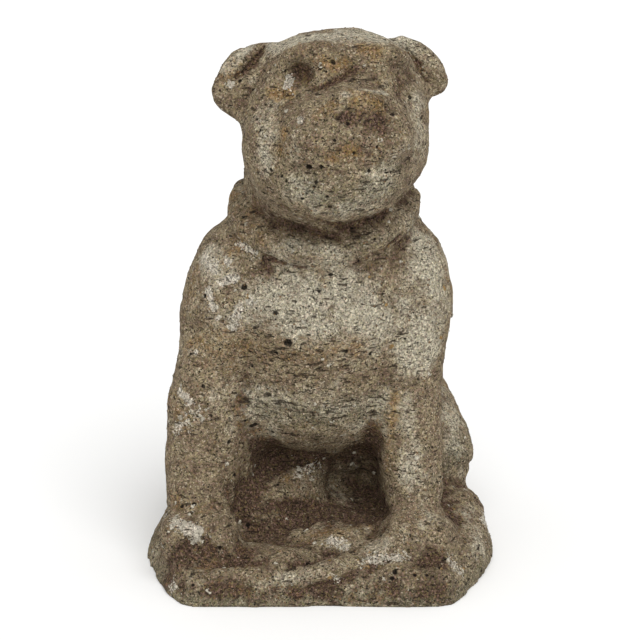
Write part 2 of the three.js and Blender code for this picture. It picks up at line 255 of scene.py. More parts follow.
class StoneSkin:
    """The statue's outer surface as a Blender mesh whose points are moved as an array."""

    def __init__(self, mesh: bpy.types.Mesh) -> None:
        """Takes over a closed mesh."""
        self.mesh = mesh
        self.points = np.empty(0)
        self.edges = np.empty(0)
        self._read()

    def _read(self) -> None:
        """Copies the mesh's points and edges into arrays."""
        points = np.empty(len(self.mesh.vertices) * 3)
        self.mesh.vertices.foreach_get("co", points)
        self.points = points.reshape(-1, 3)
        edges = np.empty(len(self.mesh.edges) * 2, dtype=np.int64)
        self.mesh.edges.foreach_get("vertices", edges)
        self.edges = edges.reshape(-1, 2)

    def write(self) -> None:
        """Copies the moved points back into the mesh."""
        self.mesh.vertices.foreach_set("co", self.points.ravel())
        self.mesh.update()

    def normals(self) -> np.ndarray:
        """Returns the outward direction at each point."""
        self.write()
        normals = np.empty(len(self.mesh.vertices) * 3)
        self.mesh.vertex_normals.foreach_get("vector", normals)
        return normals.reshape(-1, 3)

    def spread(self, values: np.ndarray) -> np.ndarray:
        """Averages values over each point's neighbours.

        Args:
            values: One row for each point.

        Returns:
            The mean over the neighbours, one row for each point.
        """
        count = len(self.points)
        first, second = self.edges.T
        degree = np.bincount(self.edges.ravel(), minlength=count)
        columns = values.reshape(count, -1).T
        sums = [
            np.bincount(first, column[second], count) + np.bincount(second, column[first], count)
            for column in columns
        ]
        return (np.array(sums) / np.maximum(degree, 1)).T.reshape(values.shape)

    def smooth(self, rounds: int, pull: float = 0.5, push: float = 0.52) -> None:
        """Evens out the surface without shrinking it.

        Args:
            rounds: How often the points move in and out again.
            pull: Share of the way to the neighbours' mean.
            push: Share of the way back out.
        """
        for _ in range(rounds):
            for share in (pull, -push):
                self.points = self.points + share * (self.spread(self.points) - self.points)

    def _bake(self, modify: Modify) -> None:
        """Runs one modifier on the mesh and keeps its result.

        Args:
            modify: Function that puts the modifier on an object.
        """
        self.write()
        self.mesh = baked(self.mesh, modify)
        self._read()

    def remesh(self, cell: float) -> None:
        """Gives the surface even square faces of one size, in metres."""

        def add(carrier: bpy.types.Object) -> None:
            """Adds the voxel remesher."""
            modifier = carrier.modifiers.new("remesh", "REMESH")
            modifier.mode = "VOXEL"
            modifier.voxel_size = cell

        self._bake(add)

    def decimate(self, triangles: int) -> None:
        """Joins faces where the surface is plain until this many triangles are left."""
        now = sum(len(face.vertices) - 2 for face in self.mesh.polygons)

        def add(carrier: bpy.types.Object) -> None:
            """Adds the decimator."""
            modifier = carrier.modifiers.new("decimate", "DECIMATE")
            modifier.ratio = triangles / now

        if now > triangles:
            self._bake(add)

    def tree(self) -> BVHTree:
        """Returns a search tree of the surface as it is now."""
        self.write()
        faces = [tuple(face.vertices) for face in self.mesh.polygons]
        return BVHTree.FromPolygons([Vector(point) for point in self.points], faces)

    def set_attribute(self, name: str, values: np.ndarray) -> None:
        """Stores one number for each point under a name."""
        attribute = self.mesh.attributes.new(name, "FLOAT", "POINT")
        attribute.data.foreach_set("value", values.astype(np.float32))


def stone_from_node(node: str) -> StoneSkin:
    """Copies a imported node's mesh with its loose triangles joined.

    Args:
        node: The node's name in the frame.

    Returns:
        The copy as a stone skin.
    """
    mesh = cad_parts[node].data.copy()
    joined = bmesh.new()
    joined.from_mesh(mesh)
    bmesh.ops.remove_doubles(joined, verts=joined.verts, dist=JOIN_MM * MM)
    joined.to_mesh(mesh)
    joined.free()
    mesh.materials.clear()
    return StoneSkin(mesh)


class Brush(Enum):
    """How a stroke's depth falls off across its width: the power of the distance that it follows."""

    ROUND = 2
    LINE = 1.4


@dataclass(frozen=True)
class Stroke:
    """One pass of a carving tool over the surface, in or out.

    The path is placed by pixels of the picture, and widths and heights are real millimetres. A negative
    height cuts into the stone.
    """

    path: tuple[Pixel, ...]
    width_mm: float
    height_mm: float
    brush: Brush = Brush.ROUND


FORM_STROKES = (
    # Left side of the picture: the eye's hollow, the lid under it and the groove below the lid
    Stroke(((298, 68),), 11, -3.0),
    Stroke(((286, 66), (308, 72)), 6, -1.4),
    Stroke(((270, 92), (284, 87), (302, 92)), 5, 2.2),
    Stroke(((272, 103), (290, 104)), 5, -1.6),
    # Right side of the picture: the dark arc over the eye, and the lid inside it
    Stroke(((393, 68), (406, 64), (417, 72), (421, 86)), 7, -2.0),
    Stroke(((402, 82), (410, 90)), 7, 1.8),
    Stroke(((384, 44), (402, 51), (418, 64), (428, 82)), 5, 0.8),
    # Brow and the furrow between the eyes
    Stroke(((276, 52), (296, 46), (318, 54)), 9, 0.5),
    Stroke(((350, 58), (378, 60)), 12, -0.8),
    Stroke(((318, 88), (334, 82), (350, 73)), 5, -1.5),
    # Muzzle: the ridge along its top, the nose under it, and cheeks that fill the corners beside it
    Stroke(((312, 118), (324, 105), (344, 95), (365, 91), (385, 95), (398, 106), (402, 120)), 8, 0.7),
    Stroke(((346, 118), (362, 113), (380, 117)), 8, -1.8),
    Stroke(((384, 104), (392, 98), (399, 106), (396, 116)), 4, 1.0),
    Stroke(((304, 110), (294, 124), (290, 142), (296, 158)), 8, 1.4),
    Stroke(((288, 108), (285, 134), (288, 160)), 7, 2.6),
    Stroke(((406, 112), (407, 128), (402, 148)), 7, 1.8),
    Stroke(((302, 138), (312, 152), (334, 158)), 12, 1.8),
    Stroke(((396, 136), (382, 152), (358, 158)), 12, 1.8),
    Stroke(((396, 74), (388, 84)), 10, 1.6),
    # Mouth and jaw
    Stroke(((262, 160), (292, 169), (345, 174), (385, 168), (408, 154)), 5, -1.3),
    Stroke(((290, 192), (345, 202), (390, 188)), 16, 1.8),
    Stroke(((296, 205), (345, 216), (388, 203)), 8, 3.2),
    # Ears: the hollow between the rim and the skull
    Stroke(((262, 50), (254, 60), (244, 70), (234, 78)), 6, -4.0),
    Stroke(((252, 44), (238, 56), (226, 70), (219, 84)), 4, 2.0),
    Stroke(((234, 98), (244, 104)), 7, -2.0),
    Stroke(((396, 44), (408, 52), (420, 64), (428, 78)), 5, -3.2),
    Stroke(((404, 40), (424, 54), (438, 72)), 4, 1.8),
    # Collar: a low band with worn edges and a loose end
    Stroke(((271, 261), (300, 268), (333, 266), (366, 259), (394, 246), (411, 226)), 4, 1.8),
    Stroke(((262, 266), (300, 275), (333, 274), (366, 267), (398, 252), (416, 230)), 5, -1.4),
    Stroke(((284, 218), (312, 231), (338, 240)), 5, -1.4),
    Stroke(((284, 234), (320, 247), (366, 241), (398, 224)), 9, 0.8),
    Stroke(((284, 217), (310, 227), (345, 232), (378, 226), (402, 210)), 7, 2.0),
    Stroke(((240, 186), (236, 196)), 5, 2.6),
    Stroke(((414, 192), (418, 198)), 4, 2.4),
    Stroke(((248, 204), (256, 222)), 8, 1.8),
    # Chest, arms and legs
    Stroke(((246, 340), (242, 380), (238, 424)), 12, -2.6),
    Stroke(((206, 262), (214, 300)), 16, 2.0),
    Stroke(((430, 262), (436, 300)), 14, 1.6),
    Stroke(((186, 332), (176, 350)), 10, -1.8),
    Stroke(((391, 396), (388, 430), (386, 470)), 5, 1.8),
    Stroke(((372, 400), (374, 440), (372, 480)), 8, -1.6),
    Stroke(((438, 400), (440, 450), (438, 500)), 4, 1.2),
    # Paws: shallow gaps between worn toes
    Stroke(((186, 558), (188, 530)), 4, -1.6),
    Stroke(((206, 562), (206, 536)), 4, -1.4),
    Stroke(((408, 560), (410, 540)), 4, -1.6),
    Stroke(((426, 558), (425, 538)), 4, -1.4),
    # Ground: lumps, and a smooth ridge that runs across with a hollow above it
    Stroke(((300, 532), (330, 540), (352, 534)), 12, 3.2),
    Stroke(((368, 530), (384, 524)), 9, 2.4),
    Stroke(((262, 545), (284, 552)), 10, 2.4),
    Stroke(((280, 580), (318, 574), (350, 560), (386, 542)), 9, 3.0),
    Stroke(((292, 568), (318, 562), (340, 552)), 6, -2.6),
    Stroke(((296, 592), (340, 580), (392, 558)), 5, -2.4),
    Stroke(((230, 570), (262, 578)), 9, 2.2),
    Stroke(((410, 590), (440, 580)), 9, 1.8),
    Stroke(((180, 590), (210, 596)), 9, -1.8),
    Stroke(((320, 598), (360, 600)), 10, -1.4),
)

LINE_STROKES = (
    Stroke(((298, 166), (324, 170), (356, 172)), 2.2, -0.8, Brush.LINE),
    Stroke(((288, 221), (312, 232), (338, 240)), 2.4, -1.4, Brush.LINE),
    Stroke(((280, 205), (300, 214), (323, 221), (349, 226)), 2.8, -2.2, Brush.LINE),
    Stroke(((349, 226), (372, 218), (391, 204), (410, 188)), 2.6, -1.8, Brush.LINE),
    Stroke(((381, 108), (382, 101), (388, 98), (395, 101), (397, 109), (392, 116)), 2.2, 1.2, Brush.LINE),
    Stroke(((388, 107),), 3.4, -2.4),
    Stroke(((394, 67), (406, 64), (416, 72)), 2.6, -0.9, Brush.LINE),
    Stroke(((264, 46), (256, 58), (246, 68), (236, 76)), 2.6, -3.0, Brush.LINE),
    Stroke(((396, 44), (408, 52), (420, 64)), 2.4, -2.4, Brush.LINE),
    Stroke(((262, 256), (278, 264), (300, 268), (333, 267)), 2.6, -2.0, Brush.LINE),
    Stroke(((333, 267), (366, 259), (390, 247), (406, 230)), 2.6, -2.0, Brush.LINE),
    Stroke(((318, 88), (334, 82), (348, 74)), 2.6, -1.5, Brush.LINE),
    Stroke(((441, 392), (443, 440), (441, 500)), 2.4, -1.6, Brush.LINE),
    Stroke(((300, 590), (342, 577), (390, 554)), 2.4, -1.0, Brush.LINE),
)

# Strokes placed from viewpoints that are turned by these angles
TURNED_STROKES = {
    # The left flank: ear, mouth, collar, foreleg and haunch
    90.0: (
        Stroke(((308, 64), (308, 104)), 11, 2.6),
        Stroke(((300, 50), (290, 70), (287, 95), (296, 116), (312, 124)), 3.4, -2.6, Brush.LINE),
        Stroke(((324, 56), (330, 86), (324, 116)), 4, -1.8),
        Stroke(((152, 150), (176, 152), (200, 146), (214, 132)), 2.8, -1.3, Brush.LINE),
        Stroke(((212, 222), (250, 221), (300, 210), (350, 190), (378, 174)), 8, 1.4),
        Stroke(((214, 204), (250, 205), (300, 194), (345, 174), (368, 158)), 3.0, -2.0, Brush.LINE),
        Stroke(((208, 242), (250, 240), (300, 228), (350, 207), (388, 190)), 3.0, -2.2, Brush.LINE),
        Stroke(((262, 290), (260, 350)), 20, 1.6),
        Stroke(((304, 350), (292, 400), (294, 450), (300, 500)), 7, -2.8),
        Stroke(((312, 476), (328, 444), (370, 420), (420, 406), (466, 404)), 6, -2.6),
        Stroke(((380, 450), (430, 460)), 26, 1.8),
        Stroke(((318, 520), (370, 532), (430, 538), (480, 528)), 4, -2.0),
    ),
    # The back: the ears' roots, the collar and the seam between the haunches
    180.0: (
        Stroke(((228, 40), (236, 62), (230, 92)), 5, -1.8),
        Stroke(((410, 40), (400, 62), (404, 92)), 5, -1.8),
        Stroke(((240, 178), (280, 173), (320, 172), (360, 173), (396, 180)), 7, 1.2),
        Stroke(((238, 166), (280, 160), (320, 158), (360, 160), (394, 168)), 3.0, -2.0, Brush.LINE),
        Stroke(((230, 192), (275, 188), (320, 187), (365, 188), (402, 193)), 3.0, -2.2, Brush.LINE),
        Stroke(((320, 470), (326, 500), (330, 536)), 7, -2.2),
        Stroke(((210, 400), (240, 414), (262, 440)), 8, -1.6),
        Stroke(((462, 400), (430, 414), (408, 440)), 8, -1.6),
    ),
    # The right flank
    270.0: (
        Stroke(((372, 62), (376, 102)), 10, 1.8),
        Stroke(((352, 58), (349, 86), (360, 114), (380, 128)), 3.4, -2.4, Brush.LINE),
        Stroke(((386, 56), (400, 84), (400, 112)), 3.4, -1.6, Brush.LINE),
        Stroke(((487, 136), (464, 150), (440, 146), (426, 132)), 2.8, -1.3, Brush.LINE),
        Stroke(((262, 174), (290, 192), (345, 212), (400, 222), (430, 222)), 8, 1.4),
        Stroke(((270, 158), (300, 176), (345, 196), (400, 207), (428, 206)), 3.0, -2.0, Brush.LINE),
        Stroke(((252, 190), (290, 209), (345, 229), (400, 241), (434, 242)), 3.0, -2.2, Brush.LINE),
        Stroke(((380, 290), (380, 350)), 20, 1.6),
        Stroke(((318, 350), (336, 400), (346, 445), (350, 500)), 7, -2.4),
        Stroke(((166, 404), (210, 400), (262, 408), (302, 430), (322, 466)), 6, -2.6),
        Stroke(((210, 455), (262, 450)), 26, 1.8),
    ),
}


class Carver:
    """Carries strokes from the picture onto the stone."""

    # Spacing of the points that a path is laid with
    STEP_PX = 4.0
    # How many half widths away a stroke still works, and how steeply it falls off
    WIDTHS_REACHED = 3
    FALL = 1.6
    # Least squared length of a path's step in metres, which keeps a single point from dividing by 0
    LEAST_SQUARE = 1e-12
    # How often the carving directions are evened out
    NORMAL_ROUNDS = 3

    def __init__(self, view: Viewpoint) -> None:
        """Keeps the viewpoint that the strokes are seen from."""
        self.view = view

    def place(self, tree: BVHTree, pixel: Pixel) -> Vector | None:
        """Returns the point of the surface that shows at a pixel, or None where it shows no stone."""
        return tree.ray_cast(self.view.location(), self.view.ray(pixel))[0]

    def trace(self, tree: BVHTree, path: tuple[Pixel, ...]) -> np.ndarray:
        """Lays a path on the surface with a point every few pixels.

        Args:
            tree: Search tree of the surface.
            path: Corners of the path in the picture.

        Returns:
            The path's places in metres, one row for each.
        """
        pixels = [path[0]]
        for start, end in zip(path, path[1:]):
            length = math.dist(start, end)
            steps = max(1, round(length / self.STEP_PX))
            for step in range(1, steps + 1):
                share = step / steps
                pixels.append(tuple(a + (b - a) * share for a, b in zip(start, end)))
        places = [self.place(tree, pixel) for pixel in pixels]
        return np.array([place for place in places if place is not None]).reshape(-1, 3)

    def reach(self, points: np.ndarray, path: np.ndarray, width: float, brush: Brush) -> np.ndarray:
        """Says how strongly a stroke works on each point.

        Args:
            points: The surface's points in metres.
            path: The stroke's places in metres.
            width: The stroke's half width in metres.
            brush: How the stroke falls off.

        Returns:
            One number from 0 to 1 for each point.
        """
        nearest = np.full(len(points), np.inf)
        margin = width * self.WIDTHS_REACHED
        inside = np.all((points > path.min(0) - margin) & (points < path.max(0) + margin), axis=1)
        near = points[inside]
        distance = np.full(len(near), np.inf)
        ends = path[1:] if len(path) > 1 else path
        for start, end in zip(path, ends):
            along = end - start
            length = max(float(along @ along), self.LEAST_SQUARE)
            share = np.clip((near - start) @ along / length, 0, 1)
            gap = near - start - share[:, None] * along
            distance = np.minimum(distance, np.linalg.norm(gap, axis=1))
        nearest[inside] = distance
        return np.exp(-((nearest / width) ** brush.value) * self.FALL)

    def carve(self, skin: StoneSkin, strokes: tuple[Stroke, ...]) -> None:
        """Works all strokes into the surface.

        Args:
            skin: The surface that is changed.
            strokes: The strokes, each placed on the surface as it was before the first of them.
        """
        tree = skin.tree()
        normals = skin.normals()
        for _ in range(self.NORMAL_ROUNDS):
            normals = skin.spread(normals)
        normals /= np.linalg.norm(normals, axis=1, keepdims=True)
        for stroke in strokes:
            path = self.trace(tree, stroke.path)
            if not len(path):
                log.warning("a stroke at %s misses the stone", stroke.path[0])
                continue
            strength = self.reach(skin.points, path, stroke.width_mm * MM, stroke.brush)
            skin.points = skin.points + normals * (strength * stroke.height_mm * MM)[:, None]


@dataclass(frozen=True)
class Weathering:
    """How the casting's skin has worn, in millimetres.

    The base and the paws, which stand in the wet, are worn more than the figure above them, and the edge
    that touches the ground less. What is said of a pit's bowl is a share of the pit's radius.
    """

    dents_mm: float = 30.0
    dent_depth_mm: float = 1.5
    lumps_mm: float = 12.0
    lump_depth_mm: float = 1.0
    crust_mm: float = 4.6
    crust_depth_mm: float = 0.55
    wet_height_mm: float = 46.0
    dry_height_mm: float = 110.0
    wet_wear: float = 1.9
    foot_mm: float = 7.0
    foot_wear: float = 0.25
    sheltered_wear: float = 0.6
    pits: int = 320
    smallest_pit_mm: float = 0.8
    largest_pit_mm: float = 1.8
    pit_rarity: int = 3
    bowl_reach: float = 1.5
    bowl_depth: float = 1.1
    bowl_middle: float = 0.7
    bowl_power: float = 0.7

    def wear(self, skin: StoneSkin, sheltered: np.ndarray) -> None:
        """Roughens the whole surface with dents, lumps and a fine crust.

        Args:
            skin: The surface that is changed.
            sheltered: How smooth each point has stayed, from 0 to 1.
        """
        layers = (
            (self.dents_mm, self.dent_depth_mm, 1),
            (self.lumps_mm, self.lump_depth_mm, 2),
            (self.crust_mm, self.crust_depth_mm, 2),
        )
        normals = skin.normals()
        lift = np.zeros(len(skin.points))
        for number, (size, depth, octaves) in enumerate(layers):
            noise = Noise(SEED + number)
            lift += noise.fractal(skin.points, size * MM, octaves) * depth * MM
        heights = (self.wet_height_mm * MM, self.dry_height_mm * MM)
        lift *= np.interp(skin.points[:, 2], heights, (self.wet_wear, 1.0))
        lift *= np.interp(skin.points[:, 2], (0.0, self.foot_mm * MM), (self.foot_wear, 1.0))
        lift *= 1 - sheltered * (1 - self.sheltered_wear)
        skin.points = skin.points + normals * lift[:, None]

    def pit(self, skin: StoneSkin, placed: list[tuple[Vector, float]]) -> np.ndarray:
        """Opens the air pits that the mould left in the skin.

        Args:
            skin: The surface that is changed.
            placed: Pits at chosen places, each with its radius in metres, opened beside the random ones.

        Returns:
            The pits as rows of sunk middle and radius, in metres.
        """
        rng = np.random.default_rng(SEED)
        chosen = skin.points[rng.integers(0, len(skin.points), self.pits)]
        span = self.largest_pit_mm - self.smallest_pit_mm
        radii = (self.smallest_pit_mm + span * rng.random(self.pits) ** self.pit_rarity) * MM
        pits = list(zip(chosen, radii)) + [(np.array(place), radius) for place, radius in placed]
        normals = skin.normals()
        depth = np.zeros(len(skin.points))
        sunk = []
        for place, radius in pits:
            near = np.flatnonzero(np.abs(skin.points - place).max(1) < radius * self.bowl_reach)
            gap = np.linalg.norm(skin.points[near] - place, axis=1) / radius
            bowl = np.clip(1 - gap**2, 0, 1) ** self.bowl_power * radius * self.bowl_depth
            depth[near] = np.maximum(depth[near], bowl)
            sunk.append((*(place - normals[near[gap.argmin()]] * radius * self.bowl_middle), radius))
        skin.points = skin.points - normals * depth[:, None]
        return np.array(sunk)


FACE_PITS = (
    (392, 114, 1.7), (348, 124, 1.3), (309, 167, 2.0), (321, 167, 1.7), (271, 170, 1.5), (369, 171, 1.5),
    (354, 153, 1.3), (377, 147, 1.2), (260, 130, 1.2), (322, 138, 1.2), (282, 176, 1.2), (286, 181, 1.2),
    (314, 187, 1.2), (302, 199, 1.1), (330, 207, 1.5), (352, 228, 1.3), (375, 239, 1.1), (257, 119, 1.1),
    (327, 197, 1.3), (316, 182, 1.2), (255, 158, 1.1), (264, 193, 1.1), (361, 205, 1.0), (391, 172, 1.1),
)
BODY_PITS = (
    (244, 287, 2.2), (275, 313, 1.9), (319, 291, 1.5), (223, 321, 1.1), (276, 353, 1.5), (252, 366, 1.3),
    (203, 386, 1.5), (229, 442, 1.5), (288, 343, 2.8), (376, 459, 1.5), (363, 422, 1.0), (311, 388, 0.9),
    (308, 564, 1.7), (395, 572, 1.9), (415, 575, 1.5), (440, 568, 1.7), (220, 548, 1.5), (179, 415, 1.0),
)


def placed_pits(skin: StoneSkin, carver: Carver) -> list[tuple[Vector, float]]:
    """Finds the places of the large pits that show in the picture.

    Args:
        skin: The surface that the pits go into.
        carver: The carver that knows the viewpoint.

    Returns:
        Each pit's place and radius in metres.
    """
    tree = skin.tree()
    found = [(carver.place(tree, (x, y)), radius * MM) for x, y, radius in FACE_PITS + BODY_PITS]
    return [(place, radius) for place, radius in found if place is not None]


class Stain(Enum):
    """What grows or lies on the stone, and where shade and light are painted on it, each kept as a weight at
    every point.
    """

    WHITE = "white_lichen"
    OCHRE = "ochre_lichen"
    # Dark patina, mixed with painted shade in hollows, grooves, the recess between the forelegs and the flank
    # away from the light
    DARK = "dark_patina_and_painted_shade"
    GREEN = "green_algae"
    # Bare pale cement, mixed with painted light on one ear's rim, the muzzle's ridge, the crown and the lit
    # right flank
    BARE_AND_PAINTED_LIGHT = "bare_cement_and_painted_light"
    SMEAR = "smeared_mortar"


@dataclass(frozen=True)
class Patch:
    """One stained place, laid like a stroke: its path in the picture, half width and strength."""

    path: tuple[Pixel, ...]
    width_mm: float
    strength: float = 1.0


# The front
FRONT_PATCHES = {
    # Ochre and orange lichen
    Stain.OCHRE: (
        Patch(((362, 46), (376, 52)), 8, 1.2),
        Patch(((326, 63), (346, 62)), 10, 1.2),
        Patch(((350, 91), (382, 95)), 6, 0.8),
        Patch(((270, 91), (292, 96)), 6, 1.3),
        Patch(((283, 134),), 8, 1.3),
        Patch(((280, 150),), 7, 1.2),
        Patch(((332, 158), (352, 150)), 8),
        Patch(((318, 112), (332, 104)), 8, 0.7),
        Patch(((354, 102), (382, 106)), 9, 1.1),
        Patch(((290, 50), (345, 44), (396, 52)), 26, 0.4),
        Patch(((232, 200), (244, 240), (222, 262)), 16, 0.5),
        Patch(((214, 350), (260, 344), (300, 366)), 22, 0.5),
        Patch(((236, 60), (224, 82)), 7, 0.6),
        Patch(((250, 210), (262, 234)), 10, 0.6),
        Patch(((316, 268), (324, 284)), 7, 0.7),
        Patch(((200, 250), (190, 290)), 9, 0.5),
        Patch(((186, 345), (200, 340)), 7, 0.6),
        Patch(((172, 395), (182, 425)), 9),
        Patch(((260, 362), (310, 352), (360, 346)), 12, 0.5),
        Patch(((396, 395), (390, 440), (388, 475)), 5, 0.7),
        Patch(((286, 478),), 6),
        Patch(((172, 500), (210, 512)), 9, 0.5),
        Patch(((300, 540), (350, 528)), 9, 0.6),
    ),
    # White lichen
    Stain.WHITE: (
        Patch(((290, 78), (287, 86)), 3.4, 1.6),
        Patch(((300, 120),), 4, 1.1),
        Patch(((231, 84),), 4, 1.2),
        Patch(((204, 258), (214, 268)), 6, 1.1),
        Patch(((228, 262),), 5, 1.2),
        Patch(((222, 282), (236, 278)), 4, 1.3),
        Patch(((208, 290), (213, 307)), 4, 1.2),
        Patch(((232, 326), (239, 308)), 5, 1.1),
        Patch(((218, 318),), 3, 1.4),
        Patch(((250, 300),), 5, 1.0),
        Patch(((240, 242), (254, 254)), 6, 0.8),
        Patch(((196, 352),), 4, 1.0),
        Patch(((180, 392), (190, 402)), 5, 1.0),
        Patch(((176, 430), (196, 412)), 9, 0.6),
        Patch(((196, 532), (178, 522)), 8, 1.1),
        Patch(((172, 586),), 7, 0.8),
        Patch(((300, 474), (316, 466)), 8, 0.6),
        Patch(((330, 540), (345, 546)), 7, 0.8),
        Patch(((366, 562), (402, 556)), 8, 0.7),
        Patch(((450, 560), (460, 572)), 7, 0.7),
        Patch(((335, 578),), 5, 0.8),
    ),
    # Dark patina, and painted shade in the ears' hollows, under the jaw, along the collar's edges, in the
    # recess between the forelegs and down the left flank, away from the light
    Stain.DARK: (
        Patch(((316, 89), (334, 83), (350, 74)), 4, 1.0),
        Patch(((300, 66), (350, 70), (396, 74)), 15, 0.35),
        Patch(((342, 116), (366, 112), (386, 128)), 15, 1.5),
        Patch(((299, 68),), 8, 1.0),
        Patch(((402, 68), (412, 74)), 6, 0.5),
        Patch(((264, 48), (250, 64), (238, 76)), 5, 1.3),
        Patch(((400, 42), (422, 60)), 7, 0.7),
        Patch(((296, 148), (345, 157), (390, 150)), 15, 1.2),
        Patch(((280, 206), (305, 216), (346, 228), (380, 217), (404, 194)), 2.8, 1.1),
        Patch(((288, 220), (314, 229), (336, 239)), 4, 0.7),
        Patch(((264, 258), (300, 268), (333, 267), (366, 260), (404, 233)), 2.8, 1.3),
        Patch(((220, 294), (226, 330), (220, 360)), 14, 0.8),
        Patch(((176, 450), (190, 500)), 20, 0.4),
        Patch(((250, 446), (310, 456), (384, 440)), 24, 1.0),
        Patch(((250, 505), (330, 520), (384, 512)), 24, 1.1),
        Patch(((232, 480), (240, 515)), 14, 0.8),
        Patch(((160, 540), (230, 560), (300, 570)), 24, 1.0),
        Patch(((170, 580), (260, 596), (440, 594)), 24, 1.5),
        Patch(((390, 530), (430, 545), (440, 585)), 18, 0.75),
        Patch(((448, 505), (462, 500)), 8, 0.6),
        Patch(((242, 400), (246, 440), (244, 480)), 10, 0.7),
        Patch(((180, 330), (174, 380)), 9, 0.6),
    ),
    # Green film
    Stain.GREEN: (
        Patch(((290, 185), (345, 200), (392, 180)), 24, 0.9),
        Patch(((290, 245), (350, 250), (400, 232)), 18, 0.6),
        Patch(((256, 405), (320, 420), (380, 405)), 26, 0.9),
        Patch(((180, 600), (320, 606), (450, 600)), 10, 0.7),
    ),
    # Where the mortar was smeared sideways in the mould
    Stain.SMEAR: (
        Patch(((262, 352), (320, 366), (392, 350)), 26),
        Patch(((256, 396), (320, 412), (384, 396)), 26),
        Patch(((290, 190), (345, 206), (396, 180)), 18, 0.9),
        Patch(((262, 172), (286, 192)), 12, 0.6),
        Patch(((300, 222), (345, 230), (400, 206)), 8, 0.8),
    ),
    # Bare pale cement, and painted light on one ear's rim, the muzzle's ridge, the crown and the right flank,
    # which face the light
    Stain.BARE_AND_PAINTED_LIGHT: (
        Patch(((288, 330), (334, 326)), 8, 1.0),
        Patch(((262, 296), (330, 302), (392, 306)), 30, 1.0),
        Patch(((346, 94), (366, 90), (386, 94)), 4, 0.9),
        Patch(((302, 116), (293, 134), (296, 156)), 6, 0.5),
        Patch(((254, 44), (240, 54), (226, 70)), 5, 1.1),
        Patch(((300, 188), (345, 200), (385, 186)), 20, 0.45),
        Patch(((256, 400), (320, 410), (384, 400)), 24, 0.3),
        Patch(((206, 256), (222, 270)), 15, 0.9),
        Patch(((286, 244), (345, 253), (398, 234)), 7, 0.35),
        Patch(((420, 250), (428, 310), (420, 350)), 24, 0.95),
        Patch(((412, 400), (412, 440), (408, 480)), 12, 0.45),
        Patch(((452, 420), (458, 470)), 16, 0.5),
        Patch(((262, 112), (262, 160)), 14, 0.5),
        Patch(((420, 100), (416, 150)), 14, 0.4),
        Patch(((284, 42), (345, 34), (396, 42)), 19, 1.0),
        Patch(((280, 579), (318, 574), (350, 560), (384, 543)), 9, 0.35),
        Patch(((468, 520), (478, 550)), 16, 0.5),
    ),
}

# The left flank
LEFT_PATCHES = {
    Stain.OCHRE: (
        Patch(((300, 300), (340, 340)), 14, 0.9),
        Patch(((400, 450), (440, 470)), 12, 1.0),
        Patch(((250, 120), (268, 146)), 8, 0.9),
    ),
    Stain.WHITE: (
        Patch(((330, 250), (350, 262)), 6, 1.1),
        Patch(((420, 430), (440, 436)), 6, 1.1),
        Patch(((250, 560), (300, 566)), 6, 1.0),
        Patch(((320, 146),), 5, 1.1),
    ),
    Stain.DARK: (
        Patch(((340, 250), (400, 350)), 20, 0.7),
        Patch(((250, 545), (430, 562)), 15, 1.1),
    ),
    Stain.GREEN: (
        Patch(((300, 500), (450, 520)), 24, 0.9),
    ),
    Stain.BARE_AND_PAINTED_LIGHT: (
        Patch(((288, 290), (290, 340)), 20, 0.6),
        Patch(((370, 440), (430, 450)), 22, 0.6),
        Patch(((300, 30), (340, 60)), 14, 0.9),
    ),
}

# The back
BACK_PATCHES = {
    Stain.OCHRE: (
        Patch(((350, 280), (370, 330)), 16, 0.9),
        Patch(((250, 440), (280, 470)), 12, 0.9),
        Patch(((290, 60),), 10, 0.9),
    ),
    Stain.WHITE: (
        Patch(((300, 250), (320, 262)), 7, 1.1),
        Patch(((380, 400), (396, 410)), 6, 1.1),
        Patch(((250, 540),), 6, 1.0),
        Patch(((340, 120),), 5, 1.1),
    ),
    Stain.DARK: (
        Patch(((330, 380), (340, 470)), 22, 0.8),
        Patch(((230, 572), (420, 576)), 15, 1.1),
    ),
    Stain.GREEN: (
        Patch(((260, 520), (400, 520)), 22, 0.9),
    ),
    Stain.BARE_AND_PAINTED_LIGHT: (
        Patch(((290, 230), (300, 330)), 24, 0.55),
        Patch(((235, 465),), 24, 0.55),
        Patch(((415, 465),), 22, 0.55),
        Patch(((320, 60), (330, 100)), 20, 0.6),
    ),
}

# The right flank
RIGHT_PATCHES = {
    Stain.OCHRE: (
        Patch(((330, 300), (300, 340)), 14, 0.9),
        Patch(((200, 460), (240, 480)), 12, 1.0),
    ),
    Stain.WHITE: (
        Patch(((310, 250), (290, 262)), 6, 1.1),
        Patch(((220, 430), (232, 424)), 6, 1.1),
        Patch(((340, 566), (390, 560)), 6, 1.0),
    ),
    Stain.DARK: (
        Patch(((300, 250), (250, 350)), 20, 0.7),
        Patch(((220, 552), (390, 562)), 15, 1.1),
    ),
    Stain.GREEN: (
        Patch(((190, 520), (340, 500)), 24, 0.9),
    ),
    Stain.BARE_AND_PAINTED_LIGHT: (
        Patch(((344, 300), (340, 340)), 18, 0.55),
        Patch(((210, 440), (270, 450)), 22, 0.55),
        Patch(((330, 30), (290, 60)), 14, 0.9),
    ),
}

# Stained places by the turn of the viewpoint that they are placed from
PATCHES = {0.0: FRONT_PATCHES, 90.0: LEFT_PATCHES, 180.0: BACK_PATCHES, 270.0: RIGHT_PATCHES}


